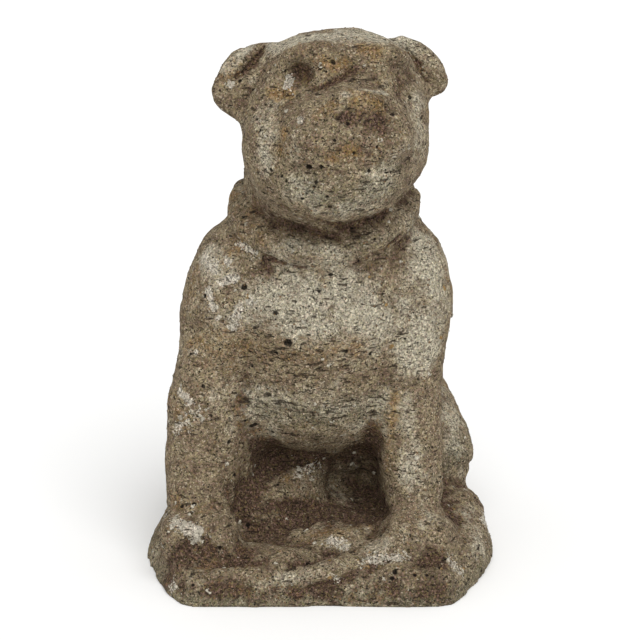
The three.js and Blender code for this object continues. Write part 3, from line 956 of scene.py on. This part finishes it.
class Staining:
    """Paints what grows and settles on the stone, and where shade and light are painted, as weights for the
    finish to read.
    """

    # For narrow and for wide hollows, which the finish darkens as painted shade: rounds of evening out, and
    # the depth in millimetres that counts as 1
    HOLLOWS = {"hollow": (12, 0.7), "fold": (120, 3.0)}
    # In pit radii: how far the painted shade of a pit may reach, and where its soft edge starts and how
    # steeply it falls
    PIT_SHADE_REACH = 2
    PIT_SHADE_EDGE = 2.2
    PIT_SHADE_FALL = 1.3

    def __init__(self, view: Viewpoint) -> None:
        """Keeps the viewpoint that is turned to place the patches."""
        self.view = view

    def weight(self, skin: StoneSkin, tree: BVHTree, stain: Stain) -> np.ndarray:
        """Adds up all patches of one stain.

        Args:
            skin: The surface that is stained.
            tree: Search tree of the surface.
            stain: The stain.

        Returns:
            One weight for each point, from 0 to 1.
        """
        weight = np.zeros(len(skin.points))
        for turn, patches in PATCHES.items():
            carver = Carver(replace(self.view, turn_deg=turn))
            for patch in patches.get(stain, ()):
                path = carver.trace(tree, patch.path)
                if len(path):
                    reach = carver.reach(skin.points, path, patch.width_mm * MM, Brush.ROUND)
                    weight = np.maximum(weight, reach * patch.strength)
        return weight

    def paint(self, skin: StoneSkin, pits: np.ndarray) -> None:
        """Stores a weight for each stain, and how hollow, folded in and pitted each point is.

        Args:
            skin: The finished surface.
            pits: Rows of place and radius.
        """
        tree = skin.tree()
        normals = skin.normals()
        for stain in Stain:
            skin.set_attribute(stain.value, self.weight(skin, tree, stain))
        for name, (rounds, deep_mm) in self.HOLLOWS.items():
            skin.set_attribute(name, self._hollow(skin, normals, rounds, deep_mm))
        skin.set_attribute("pit", self._pitted(skin, pits))

    def _hollow(self, skin: StoneSkin, normals: np.ndarray, rounds: int, deep_mm: float) -> np.ndarray:
        """Measures how far each point lies below the surface around it.

        Args:
            skin: The finished surface.
            normals: The outward direction at each point.
            rounds: How often the surface is evened out before it is compared, so how wide a hollow counts.
            deep_mm: The depth that counts as 1.

        Returns:
            About -1 on edges and crowns, 0 on plain ground and 1 in grooves.
        """
        even = skin.points
        for _ in range(rounds):
            even = skin.spread(even)
        depth = np.sum((even - skin.points) * normals, axis=1)
        return np.clip(depth / (deep_mm * MM), -1, 1)

    def _pitted(self, skin: StoneSkin, pits: np.ndarray) -> np.ndarray:
        """Says which points lie in a pit.

        Args:
            skin: The finished surface.
            pits: Rows of place and radius.

        Returns:
            1 inside a pit and 0 outside, with a soft edge.
        """
        inside = np.zeros(len(skin.points))
        for x, y, z, radius in pits:
            near = np.abs(skin.points - (x, y, z)).max(1) < radius * self.PIT_SHADE_REACH
            gap = np.linalg.norm(skin.points[near] - (x, y, z), axis=1) / radius
            inside[near] = np.maximum(inside[near], np.clip(self.PIT_SHADE_EDGE - gap * self.PIT_SHADE_FALL, 0, 1))
        return inside


def linear(colour: str) -> tuple[float, float, float, float]:
    """Turns an sRGB hex colour into the linear values that a shader takes.

    Args:
        colour: Six hex digits after a hash sign.

    Returns:
        Red, green, blue and an alpha of 1.
    """
    parts = [int(colour[n : n + 2], 16) / 255 for n in (1, 3, 5)]
    bent = [part / 12.92 if part <= 0.04045 else ((part + 0.055) / 1.055) ** 2.4 for part in parts]
    return (*bent, 1.0)


def add_node(
    tree: bpy.types.NodeTree, kind: str, settings: dict | None = None, inputs: dict | None = None
) -> bpy.types.Node:
    """Adds a node with its settings, values and links.

    Args:
        tree: The tree that gets the node.
        kind: The node's type name.
        settings: Values for the node's own properties.
        inputs: For each input, by name or number, a value or the output socket that is linked to it.

    Returns:
        The new node.
    """
    node = tree.nodes.new(kind)
    for name, value in (settings or {}).items():
        setattr(node, name, value)
    for key, value in (inputs or {}).items():
        if isinstance(value, bpy.types.NodeSocket):
            tree.links.new(value, node.inputs[key])
        else:
            node.inputs[key].default_value = value
    return node


Causes = tuple[tuple[str, float], ...]


@dataclass(frozen=True)
class Pattern:
    """A random pattern whose largest features are of a real size.

    A stretch under 1 draws the features out sideways, and a swirl draws them into strands.
    """

    size_mm: float
    detail: float = 3.0
    roughness: float = 0.7
    shift: float = 0.0
    stretch: float = 1.0
    swirl: float = 0.0


@dataclass(frozen=True)
class Coat:
    """One colour laid over what is below it, where its causes add up to enough.

    A cause is the name of a pattern, of something that the mesh keeps for each point, or of an earlier coat,
    with its share.
    """

    name: str
    colour: str
    causes: Causes
    start: float
    full: float
    cover: float = 1.0


class Finish:
    """A material in the making: its node tree, and the numbers that its coats are laid by."""

    # Mineral surfaces: the usual index of refraction, and little shine because they are dusty
    IOR = 1.45
    SPECULAR = 0.2
    LEAST_TONE = 0.2

    def __init__(self, name: str, patterns: dict[str, Pattern], kept: tuple[str, ...]) -> None:
        """Starts a material.

        Args:
            name: The material's name.
            patterns: The random patterns, by name.
            kept: Names of the numbers that the mesh keeps for each point.
        """
        self.material = bpy.data.materials.new(name)
        self.material.use_nodes = True
        self.tree = self.material.node_tree
        self.tree.nodes.clear()
        self.place = add_node(self.tree, "ShaderNodeTexCoord").outputs["Object"]
        self.causes: dict[str, bpy.types.NodeSocket] = {}
        for number in kept:
            self.causes[number] = add_node(
                self.tree, "ShaderNodeAttribute", {"attribute_name": number}
            ).outputs["Fac"]
        for label, pattern in patterns.items():
            mapping = add_node(
                self.tree,
                "ShaderNodeMapping",
                inputs={
                    "Vector": self.place,
                    "Location": (pattern.shift, pattern.shift, -pattern.shift),
                    "Scale": (pattern.stretch, pattern.stretch, 1.0),
                },
            )
            self.causes[label] = add_node(
                self.tree,
                "ShaderNodeTexNoise",
                inputs={
                    "Vector": mapping.outputs[0],
                    "Scale": 1 / (pattern.size_mm * MM),
                    "Detail": pattern.detail,
                    "Roughness": pattern.roughness,
                    "Distortion": pattern.swirl,
                },
            ).outputs["Fac"]

    def total(self, causes: Causes, start: float = 0.0) -> bpy.types.NodeSocket:
        """Adds up causes by their shares.

        Args:
            causes: The causes and their shares.
            start: The number that the sum starts from.

        Returns:
            The sum.
        """
        total = start
        for name, share in causes:
            total = add_node(
                self.tree,
                "ShaderNodeMath",
                {"operation": "MULTIPLY_ADD"},
                {0: self.causes[name], 1: share, 2: total},
            ).outputs[0]
        return total

    def lay(self, below: object, coat: Coat) -> bpy.types.NodeSocket:
        """Lays a coat over a colour, and keeps the coat's weight as a cause of its own.

        Args:
            below: The colour so far.
            coat: The coat.

        Returns:
            The new colour.
        """
        weight = add_node(
            self.tree,
            "ShaderNodeMapRange",
            {"interpolation_type": "SMOOTHSTEP"},
            {
                "Value": self.total(coat.causes),
                "From Min": coat.start,
                "From Max": coat.full,
                "To Max": coat.cover,
            },
        ).outputs[0]
        self.causes[coat.name] = weight
        mixed = add_node(
            self.tree, "ShaderNodeMix", {"data_type": "RGBA"}, {0: weight, 6: below, 7: linear(coat.colour)}
        )
        return mixed.outputs[2]

    def done(
        self,
        colour: object,
        tone_and_relief_shade: bpy.types.NodeSocket,
        relief: bpy.types.NodeSocket,
        relief_mm: float,
        roughness: float,
    ) -> bpy.types.Material:
        """Adds the tone, which holds painted shade of the fine relief, the fine relief and the shader.

        Args:
            colour: The surface's colour.
            tone_and_relief_shade: Factor that makes the colour lighter or darker.
            relief: Height of the fine relief, about 0 to 1.
            relief_mm: What a height of 1 stands for.
            roughness: The surface's roughness.

        Returns:
            The finished material.
        """
        kept = add_node(self.tree, "ShaderNodeMath", {"operation": "MAXIMUM"}, {0: tone_and_relief_shade, 1: self.LEAST_TONE})
        toned = add_node(
            self.tree, "ShaderNodeVectorMath", {"operation": "SCALE"}, {0: colour, "Scale": kept.outputs[0]}
        )
        bump = add_node(
            self.tree,
            "ShaderNodeBump",
            inputs={"Strength": 1.0, "Distance": relief_mm * MM, "Height": relief},
        )
        shader = add_node(
            self.tree,
            "ShaderNodeBsdfPrincipled",
            inputs={
                "Base Color": toned.outputs[0],
                "Roughness": roughness,
                "IOR": self.IOR,
                "Specular IOR Level": self.SPECULAR,
                "Normal": bump.outputs[0],
            },
        )
        add_node(self.tree, "ShaderNodeOutputMaterial", inputs={"Surface": shader.outputs[0]})
        return self.material


STONE_PATTERNS = {
    "cloud": Pattern(38.0, 4.0, 0.6, 1.3),
    "mottle": Pattern(11.0, 5.0, 0.75),
    "fleck": Pattern(4.4, 3.0, 0.7, 2.1),
    "drag": Pattern(2.4, 1.2, 0.6, 4.9, 0.26),
    "strand": Pattern(2.2, 3.0, 1.0, 3.7, 1.0, 1.0),
    "speck": Pattern(2.0, 2.0, 0.7, 6.1),
}

STONE_COATS = (
    # Cement worn down to its brownish sand, and places where it has stayed pale, with painted light where the
    # pale patches lie on one ear's rim, the crown and the right flank
    Coat("worn", "#72624f", (("mottle", 1.0), ("strand", 0.4)), 0.62, 0.78),
    Coat(
        "pale",
        "#bab39f",
        (("cloud", 2.5), ("fleck", 0.6), ("mottle", -0.5), ("strand", 0.3), (Stain.BARE_AND_PAINTED_LIGHT.value, 0.9)),
        1.55,
        2.2,
        0.9,
    ),
    # Greyish film where it is damp
    Coat("damp", "#6c6d59", (("mottle", 2.0), ("low", 0.6), (Stain.GREEN.value, 0.6)), 1.15, 1.75, 0.5),
    # Brown dirt in clouds and a little more of it on what faces the sky, mixed with painted shade in grooves,
    # wide hollows and the dark patches, and painted light on edges and crowns
    Coat(
        "patina_and_painted_shade",
        "#48352a",
        (
            ("mottle", 2.1),
            ("strand", 2.1),
            ("cloud", -2.0),
            ("skyward", 0.1),
            ("hollow", 0.3),
            ("fold", 0.38),
            (Stain.DARK.value, 0.85),
            (Stain.BARE_AND_PAINTED_LIGHT.value, -0.4),
        ),
        1.3,
        2.14,
        0.94,
    ),
    # Ochre lichen, rusty in places
    Coat(
        "ochre",
        "#86693c",
        (("cloud", 1.5), ("mottle", 1.0), ("strand", 1.2), (Stain.OCHRE.value, 0.55)),
        1.95,
        2.6,
        0.75,
    ),
    Coat("rust", "#6a482e", (("ochre", 1.0), ("fleck", 2.5)), 1.8, 2.3, 0.5),
    # White lichen with crisp edges
    Coat("lichen", "#cdc5b6", (("speck", 1.0), ("fleck", 0.9), (Stain.WHITE.value, 0.56)), 1.22, 1.3, 0.85),
    # Grains of olive and of pinkish sand
    Coat("olive_sand", "#7c7348", (("luck", 1.0),), 0.72, 0.8, 0.35),
    Coat("pink_sand", "#96796b", (("luck", -1.0),), -0.28, -0.2, 0.35),
    Coat("pale_sand", "#b7ae9b", (("chance", 1.0), ("speck", 0.8), ("patina_and_painted_shade", -0.2)), 1.3, 1.38, 0.4),
    # Short dark creases that run sideways where the mortar was dragged
    Coat("crease", "#2e241a", (("drag", -1.0), (Stain.SMEAR.value, 0.07)), -0.34, -0.3, 0.8),
    # Single dark sand grains
    Coat("dark_sand", "#2c241b", (("chance", -1.0), ("mottle", -1.0)), -0.6, -0.52, 0.5),
    # Painted shade, nearly black, in the pits and pores
    Coat("pit_shade", "#17120e", (("pore", 1.0), ("pit", 1.0)), 0.3, 0.8, 0.9),
)


@dataclass(frozen=True)
class CastStone:
    """Composition stone, cast in a mould from cement, sand and crushed stone, and weathered outdoors.

    The eye sees a matt, grainy, warm grey with clouds of brown patina, sand grains that have come loose,
    black air pits, and stains of pale and ochre lichen.
    """

    cement: str = "#918369"
    grain_mm: float = 1.15
    grain_bend_mm: float = 0.8
    grains_per_bend: float = 1.5
    pore_cell_mm: float = 4.6
    largest_pore: float = 0.2
    cells_without_pore: float = 0.6
    pore_edge: float = 0.06
    skyward_full: float = 0.9
    splash_mm: float = 34.0
    soaked_mm: float = 6.0
    roughness: float = 0.93
    relief_mm: float = 1.2
    # The tone darkens the stone where its fine relief lies low: painted shade of the grit, over the grains'
    # own random tone
    tone_and_relief_shade: Causes = (("strand", 6.4), ("chance", 1.0))
    tone_and_relief_shade_start: float = -2.44
    relief: Causes = (("strand", 2.6), ("grain", -0.5), ("lichen", 0.35), ("crease", -0.9), ("pore", -1.2))

    def material(self) -> bpy.types.Material:
        """Builds the finish, reading Object coordinates and the stone's own attributes."""
        kept = (*(stain.value for stain in Stain), *Staining.HOLLOWS, "pit")
        finish = Finish("weathered_cast_stone", STONE_PATTERNS, kept)
        self._add_sides(finish)
        self._add_grains(finish)
        self._add_pores(finish)
        colour = linear(self.cement)
        for coat in STONE_COATS:
            colour = finish.lay(colour, coat)
        tone_and_relief_shade = finish.total(self.tone_and_relief_shade, self.tone_and_relief_shade_start)
        return finish.done(colour, tone_and_relief_shade, finish.total(self.relief), self.relief_mm, self.roughness)

    def _add_sides(self, finish: Finish) -> None:
        """Adds how far the stone faces the sky, and how near it is to the wet ground, as causes."""
        normal = add_node(finish.tree, "ShaderNodeNewGeometry").outputs["Normal"]
        sides = {
            "skyward": (normal, 0.0, self.skyward_full),
            "low": (finish.place, self.splash_mm * MM, self.soaked_mm * MM),
        }
        for name, (vector, start, full) in sides.items():
            parts = add_node(finish.tree, "ShaderNodeSeparateXYZ", inputs={0: vector})
            finish.causes[name] = add_node(
                finish.tree,
                "ShaderNodeMapRange",
                inputs={"Value": parts.outputs["Z"], "From Min": start, "From Max": full},
            ).outputs[0]

    def _add_grains(self, finish: Finish) -> None:
        """Adds bent sand grains as causes: the distance from each grain's middle, and two random numbers."""
        bend = add_node(
            finish.tree,
            "ShaderNodeTexNoise",
            inputs={
                "Vector": finish.place,
                "Scale": 1 / (self.grain_mm * self.grains_per_bend * MM),
                "Detail": 1.0,
            },
        )
        place = add_node(
            finish.tree,
            "ShaderNodeVectorMath",
            {"operation": "MULTIPLY_ADD"},
            {0: bend.outputs["Color"], 1: (self.grain_bend_mm * MM,) * 3, 2: finish.place},
        )
        cells = add_node(
            finish.tree,
            "ShaderNodeTexVoronoi",
            inputs={"Vector": place.outputs[0], "Scale": 1 / (self.grain_mm * MM)},
        )
        parts = add_node(finish.tree, "ShaderNodeSeparateColor", inputs={0: cells.outputs["Color"]})
        finish.causes["grain"] = cells.outputs["Distance"]
        finish.causes["chance"] = parts.outputs[0]
        finish.causes["luck"] = parts.outputs[1]

    def _add_pores(self, finish: Finish) -> None:
        """Adds small round pores as a cause, in two cells out of five, each with a size of its own."""
        cells = add_node(
            finish.tree,
            "ShaderNodeTexVoronoi",
            inputs={"Vector": finish.place, "Scale": 1 / (self.pore_cell_mm * MM)},
        )
        parts = add_node(finish.tree, "ShaderNodeSeparateColor", inputs={0: cells.outputs["Color"]})
        size = add_node(
            finish.tree,
            "ShaderNodeMapRange",
            inputs={
                "Value": parts.outputs[0],
                "From Min": self.cells_without_pore,
                "To Max": self.largest_pore,
            },
        )
        inside = add_node(
            finish.tree,
            "ShaderNodeMath",
            {"operation": "SUBTRACT"},
            {0: size.outputs[0], 1: cells.outputs["Distance"]},
        )
        finish.causes["pore"] = add_node(
            finish.tree,
            "ShaderNodeMapRange",
            inputs={"Value": inside.outputs[0], "From Max": self.pore_edge},
        ).outputs[0]


@dataclass(frozen=True)
class CrustoseLichen:
    """Crustose lichen, grown on the stone as thin dry rosettes.

    The eye sees small chalky grey and cream crusts with crisp edges, a few of them ochre.
    """

    ash: str = "#8a8271"
    chalk: str = "#b0a999"
    ochre: str = "#8c6d3c"
    mottle_mm: float = 1.8
    roughness: float = 0.95
    relief_mm: float = 0.8
    # The tone follows the fine relief: painted shade where it lies low
    tone_and_relief_shade: Causes = (("mottle", 3.2),)
    tone_and_relief_shade_start: float = -0.6

    def material(self) -> bpy.types.Material:
        """Builds the finish, which reads each rosette's own random tint."""
        finish = Finish("crustose_lichen", {"mottle": Pattern(self.mottle_mm, 3.0, 0.8)}, ("tint",))
        chalk = Coat("chalk", self.chalk, (("tint", 1.0), ("mottle", 1.0)), 0.6, 1.1)
        colour = finish.lay(linear(self.ash), chalk)
        colour = finish.lay(colour, Coat("ochre", self.ochre, (("tint", -1.0),), -0.16, -0.1, 0.8))
        tone_and_relief_shade = finish.total(self.tone_and_relief_shade, self.tone_and_relief_shade_start)
        return finish.done(colour, tone_and_relief_shade, finish.causes["mottle"], self.relief_mm, self.roughness)


@dataclass(frozen=True)
class SandGrain:
    """Sand and crushed stone from the mix, laid bare where the cement has washed away.

    The eye sees hard little points: pale quartz, brown ironstone and nearly black flint.
    """

    flint: str = "#2e2720"
    ironstone: str = "#7a5f43"
    quartz: str = "#92876f"
    mottle_mm: float = 0.9
    roughness: float = 0.8
    relief_mm: float = 0.15
    # The tone follows the fine relief: painted shade where it lies low
    tone_and_relief_shade: Causes = (("mottle", 1.0),)
    tone_and_relief_shade_start: float = 0.5

    def material(self) -> bpy.types.Material:
        """Builds the finish, which reads each grain's own random tint."""
        finish = Finish("exposed_sand_grains", {"mottle": Pattern(self.mottle_mm, 2.0, 0.8)}, ("tint",))
        colour = finish.lay(linear(self.flint), Coat("iron", self.ironstone, (("tint", 1.0),), 0.4, 0.5))
        colour = finish.lay(colour, Coat("quartz", self.quartz, (("tint", 1.0),), 0.8, 0.9))
        tone_and_relief_shade = finish.total(self.tone_and_relief_shade, self.tone_and_relief_shade_start)
        return finish.done(colour, tone_and_relief_shade, finish.causes["mottle"], self.relief_mm, self.roughness)


# No body sits lower than this, which keeps the underside flat, and a body's breadth is a share of its length
CLEAR_FOOT_MM = 2.5
BODY_BREADTH = 0.85


@dataclass(frozen=True)
class Scatter:
    """Small bodies that sit all over the stone, spread and placed by Geometry Nodes."""

    name: str
    smallest_mm: float
    largest_mm: float
    flatness: float
    rounds: int
    spacing_mm: float
    per_square_mm: float
    wobble_mm: float
    ripple_mm: float
    everywhere: float
    stain: Stain
    sink: float
    tilt: float
    seed: int

    def tree(self, material: bpy.types.Material) -> bpy.types.GeometryNodeTree:
        """Builds the node tree that spreads the bodies over a surface.

        Args:
            material: The finish that the bodies get.

        Returns:
            The tree, whose named inputs are the sizes.
        """
        tree = bpy.data.node_groups.new(self.name, "GeometryNodeTree")
        tree.interface.new_socket("Stone", in_out="INPUT", socket_type="NodeSocketGeometry")
        for size in ("Smallest", "Largest", "Spacing", "Density", "Everywhere", "Wobble"):
            tree.interface.new_socket(size, in_out="INPUT", socket_type="NodeSocketFloat")
        tree.interface.new_socket("Seed", in_out="INPUT", socket_type="NodeSocketInt")
        tree.interface.new_socket("Bodies", in_out="OUTPUT", socket_type="NodeSocketGeometry")
        given = add_node(tree, "NodeGroupInput").outputs
        points = add_node(
            tree,
            "GeometryNodeDistributePointsOnFaces",
            {"distribute_method": "POISSON"},
            {
                "Mesh": given["Stone"],
                "Distance Min": given["Spacing"],
                "Density Max": given["Density"],
                "Density Factor": self._share(tree, given),
                "Seed": given["Seed"],
            },
        ).outputs
        spin = add_node(
            tree,
            "FunctionNodeRandomValue",
            {"data_type": "FLOAT_VECTOR"},
            {
                "Min": (-self.tilt, -self.tilt, 0.0),
                "Max": (self.tilt, self.tilt, math.tau),
                "Seed": given["Seed"],
            },
        )
        turned = add_node(
            tree,
            "FunctionNodeRotateRotation",
            {"rotation_space": "LOCAL"},
            {"Rotation": points["Rotation"], "Rotate By": spin.outputs["Value"]},
        )
        size = add_node(
            tree,
            "FunctionNodeRandomValue",
            {"data_type": "FLOAT"},
            {2: given["Smallest"], 3: given["Largest"], "Seed": given["Seed"]},
        )
        placed = add_node(
            tree,
            "GeometryNodeInstanceOnPoints",
            inputs={
                "Points": points["Points"],
                "Instance": self._body(tree),
                "Rotation": turned.outputs[0],
                "Scale": size.outputs[1],
            },
        )
        tint = add_node(tree, "FunctionNodeRandomValue", {"data_type": "FLOAT"}, {"Seed": self.seed + 1})
        tinted = add_node(
            tree,
            "GeometryNodeStoreNamedAttribute",
            {"data_type": "FLOAT", "domain": "INSTANCE"},
            {"Geometry": placed.outputs[0], "Name": "tint", "Value": tint.outputs[1]},
        )
        real = add_node(tree, "GeometryNodeRealizeInstances", inputs={0: tinted.outputs[0]})
        worn = self._wobbled(tree, real.outputs[0], given["Wobble"])
        dressed = add_node(tree, "GeometryNodeSetMaterial", inputs={"Geometry": worn, "Material": material})
        add_node(tree, "NodeGroupOutput", inputs={0: dressed.outputs[0]})
        return tree

    def _share(self, tree: bpy.types.NodeTree, given: object) -> bpy.types.NodeSocket:
        """Says how densely the bodies sit at each point, and keeps them off the underside.

        Args:
            tree: The node tree.
            given: The tree's inputs.

        Returns:
            A share of the full density, from 0 to 1.
        """
        stain = add_node(
            tree, "GeometryNodeInputNamedAttribute", {"data_type": "FLOAT"}, {"Name": self.stain.value}
        )
        share = add_node(
            tree,
            "ShaderNodeMath",
            {"operation": "MAXIMUM"},
            {0: stain.outputs["Attribute"], 1: given["Everywhere"]},
        )
        place = add_node(tree, "GeometryNodeInputPosition")
        height = add_node(tree, "ShaderNodeSeparateXYZ", inputs={0: place.outputs[0]})
        above = add_node(
            tree,
            "ShaderNodeMath",
            {"operation": "GREATER_THAN"},
            {0: height.outputs["Z"], 1: CLEAR_FOOT_MM * MM},
        )
        kept = add_node(
            tree, "ShaderNodeMath", {"operation": "MULTIPLY"}, {0: share.outputs[0], 1: above.outputs[0]}
        )
        return kept.outputs[0]

    def _body(self, tree: bpy.types.NodeTree) -> bpy.types.NodeSocket:
        """Returns one body of a metre's radius, flattened and sunk a little below the surface."""
        ball = add_node(
            tree, "GeometryNodeMeshIcoSphere", inputs={"Radius": 1.0, "Subdivisions": self.rounds}
        )
        flat = add_node(
            tree,
            "GeometryNodeTransform",
            inputs={
                "Geometry": ball.outputs[0],
                "Translation": (0.0, 0.0, -self.sink * self.flatness),
                "Scale": (1.0, BODY_BREADTH, self.flatness),
            },
        )
        return flat.outputs[0]

    def _wobbled(
        self, tree: bpy.types.NodeTree, bodies: bpy.types.NodeSocket, wobble: bpy.types.NodeSocket
    ) -> bpy.types.NodeSocket:
        """Breaks the bodies' round outlines.

        Args:
            tree: The node tree.
            bodies: The realized bodies.
            wobble: How far a point may move.

        Returns:
            The moved bodies.
        """
        noise = add_node(
            tree, "ShaderNodeTexNoise", inputs={"Scale": 1 / (self.ripple_mm * MM), "Detail": 1.0}
        )
        centred = add_node(
            tree,
            "ShaderNodeVectorMath",
            {"operation": "SUBTRACT"},
            {0: noise.outputs["Color"], 1: (0.5, 0.5, 0.5)},
        )
        offset = add_node(
            tree, "ShaderNodeVectorMath", {"operation": "SCALE"}, {0: centred.outputs[0], "Scale": wobble}
        )
        moved = add_node(
            tree, "GeometryNodeSetPosition", inputs={"Geometry": bodies, "Offset": offset.outputs[0]}
        )
        return moved.outputs[0]

    def build(self, stone: bpy.types.Object, material: bpy.types.Material) -> bpy.types.Object:
        """Spreads the bodies over the finished stone and makes them a piece.

        Args:
            stone: The finished stone, with its stains as attributes.
            material: The bodies' finish.

        Returns:
            The piece, as a plain mesh.
        """
        values = {
            "Smallest": self.smallest_mm * MM / 2,
            "Largest": self.largest_mm * MM / 2,
            "Spacing": self.spacing_mm * MM,
            "Density": self.per_square_mm / MM**2,
            "Everywhere": self.everywhere,
            "Wobble": self.wobble_mm * MM,
            "Seed": self.seed,
        }

        def spread(carrier: bpy.types.Object) -> None:
            """Adds the node tree with its sizes."""
            modifier = carrier.modifiers.new("spread", "NODES")
            modifier.node_group = self.tree(material)
            for item in modifier.node_group.interface.items_tree:
                if item.name in values:
                    modifier[item.identifier] = values[item.name]

        return make_piece(self.name, baked(stone.data.copy(), spread))


LICHEN_ROSETTES = Scatter(
    name="lichen_crusts",
    smallest_mm=1.2,
    largest_mm=5.0,
    flatness=0.16,
    rounds=2,
    spacing_mm=1.6,
    per_square_mm=0.1,
    wobble_mm=4.0,
    ripple_mm=2.2,
    everywhere=0.02,
    stain=Stain.WHITE,
    sink=0.6,
    tilt=0.04,
    seed=7,
)
LOOSE_GRAINS = Scatter(
    name="exposed_grains",
    smallest_mm=0.9,
    largest_mm=2.0,
    flatness=0.7,
    rounds=1,
    spacing_mm=1.2,
    per_square_mm=0.06,
    wobble_mm=0.6,
    ripple_mm=1.2,
    everywhere=0.25,
    stain=Stain.DARK,
    sink=0.35,
    tilt=0.4,
    seed=11,
)


@dataclass(frozen=True)
class Bulldog:
    """The whole statue: one casting, from the base to the ears."""

    form_cell_mm: float = 3.0
    fine_cell_mm: float = 1.4
    form_rounds: int = 30
    fine_rounds: int = 2
    triangles: int = 192_000
    edge_mm: float = 2.5
    underside_mm: float = 1.5
    underside_facing: float = -0.6

    def build(self, view: Viewpoint) -> list[bpy.types.Object]:
        """Makes the statue and what has grown on it, and ties them to the frame.

        Args:
            view: The viewpoint that strokes and patches are placed from.

        Returns:
            The finished pieces.
        """
        carver = Carver(view)
        weathering = Weathering()
        staining = Staining(view)
        skin = stone_from_node(NODE)
        skin.remesh(self.form_cell_mm * MM)
        skin.smooth(self.form_rounds)
        carver.carve(skin, FORM_STROKES)
        skin.remesh(self.fine_cell_mm * MM)
        skin.smooth(self.fine_rounds)
        log.info("fine skin has %d points", len(skin.points))
        carver.carve(skin, LINE_STROKES)
        for turn, strokes in TURNED_STROKES.items():
            Carver(replace(view, turn_deg=turn)).carve(skin, strokes)
        weathering.wear(skin, staining.weight(skin, skin.tree(), Stain.SMEAR))
        pits = weathering.pit(skin, placed_pits(skin, carver))
        self._stand(skin)
        skin.decimate(self.triangles)
        self._stand(skin)
        staining.paint(skin, pits)
        stone = self._piece(skin)
        crusts = LICHEN_ROSETTES.build(stone, CrustoseLichen().material())
        grains = LOOSE_GRAINS.build(stone, SandGrain().material())
        return [stone, crusts, grains]

    def _stand(self, skin: StoneSkin) -> None:
        """Keeps the underside flat on the ground and the form inside the solid's box, without flat spots."""
        low, high = (np.array(corner) for corner in CAD_BOX)
        near = skin.points[:, 2] < self.underside_mm * MM
        under = near & (skin.normals()[:, 2] < self.underside_facing)
        edge = self.edge_mm * MM
        for axis in range(3):
            over = skin.points[:, axis] - (high[axis] - edge)
            skin.points[:, axis] -= np.where(over > 0, over - edge * np.tanh(over / edge), 0)
            beyond = (low[axis] + edge) - skin.points[:, axis]
            if axis < 2:
                skin.points[:, axis] += np.where(beyond > 0, beyond - edge * np.tanh(beyond / edge), 0)
        skin.points[under, 2] = low[2]
        skin.points = np.clip(skin.points, low, high)
        skin.write()

    def _piece(self, skin: StoneSkin) -> bpy.types.Object:
        """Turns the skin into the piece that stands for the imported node.

        Args:
            skin: The finished surface.

        Returns:
            The piece.
        """
        skin.mesh.materials.append(CastStone().material())
        piece = make_piece("bulldog_stone", skin.mesh)
        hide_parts(NODE)
        return piece


@dataclass(frozen=True)
class Studio:
    """A plain pale floor under plain soft light."""

    floor_size: float = 14.0
    floor_colour: str = "#f9f9f8"
    floor_roughness: float = 0.9
    sky_strength: float = 0.66
    sun_strength: float = 2.0
    sun_turn_deg: float = 14.0
    sun_height_deg: float = 52.0
    sun_spread_deg: float = 50.0

    def build(self) -> None:
        """Adds the floor, the lights and the sky, and sets how colours are shown."""
        self._floor()
        self._sun()
        world = bpy.data.worlds.new("sky")
        world.use_nodes = True
        background = world.node_tree.nodes["Background"]
        background.inputs["Color"].default_value = (1.0, 1.0, 1.0, 1.0)
        background.inputs["Strength"].default_value = self.sky_strength
        bpy.context.scene.world = world
        bpy.context.scene.view_settings.view_transform = "Standard"

    def _floor(self) -> None:
        """Adds the floor just under the statue."""
        half = self.floor_size / 2
        corners = [(-half, -half, 0.0), (half, -half, 0.0), (half, half, 0.0), (-half, half, 0.0)]
        mesh = bpy.data.meshes.new("floor")
        mesh.from_pydata(corners, [], [(0, 1, 2, 3)])
        material = bpy.data.materials.new("pale_floor")
        material.use_nodes = True
        shader = material.node_tree.nodes["Principled BSDF"]
        shader.inputs["Base Color"].default_value = linear(self.floor_colour)
        shader.inputs["Roughness"].default_value = self.floor_roughness
        mesh.materials.append(material)
        floor = add_object("floor", mesh)

    def _sun(self) -> None:
        """Adds one broad soft light from the front, which reaches the floor evenly to its far edge."""
        data = bpy.data.lights.new("soft_sun", "SUN")
        data.energy = self.sun_strength
        data.angle = math.radians(self.sun_spread_deg)
        turn, height = math.radians(self.sun_turn_deg), math.radians(self.sun_height_deg)
        level = math.cos(height)
        towards = Vector((math.sin(turn) * level, -math.cos(turn) * level, math.sin(height)))
        lamp = add_object("soft_sun", data)
        lamp.rotation_euler = (-towards).to_track_quat("-Z", "Y").to_euler()


def main() -> None:
    """Builds the camera, the statue and the studio in order."""
    logging.basicConfig(level=logging.INFO, format="%(name)s: %(message)s")
    view = Viewpoint()
    view.add_camera()
    for piece in Bulldog().build(view):
        log.info("%s has %d faces", piece.name, len(piece.data.polygons))
    Studio().build()


if __name__ == "__main__":
    main()
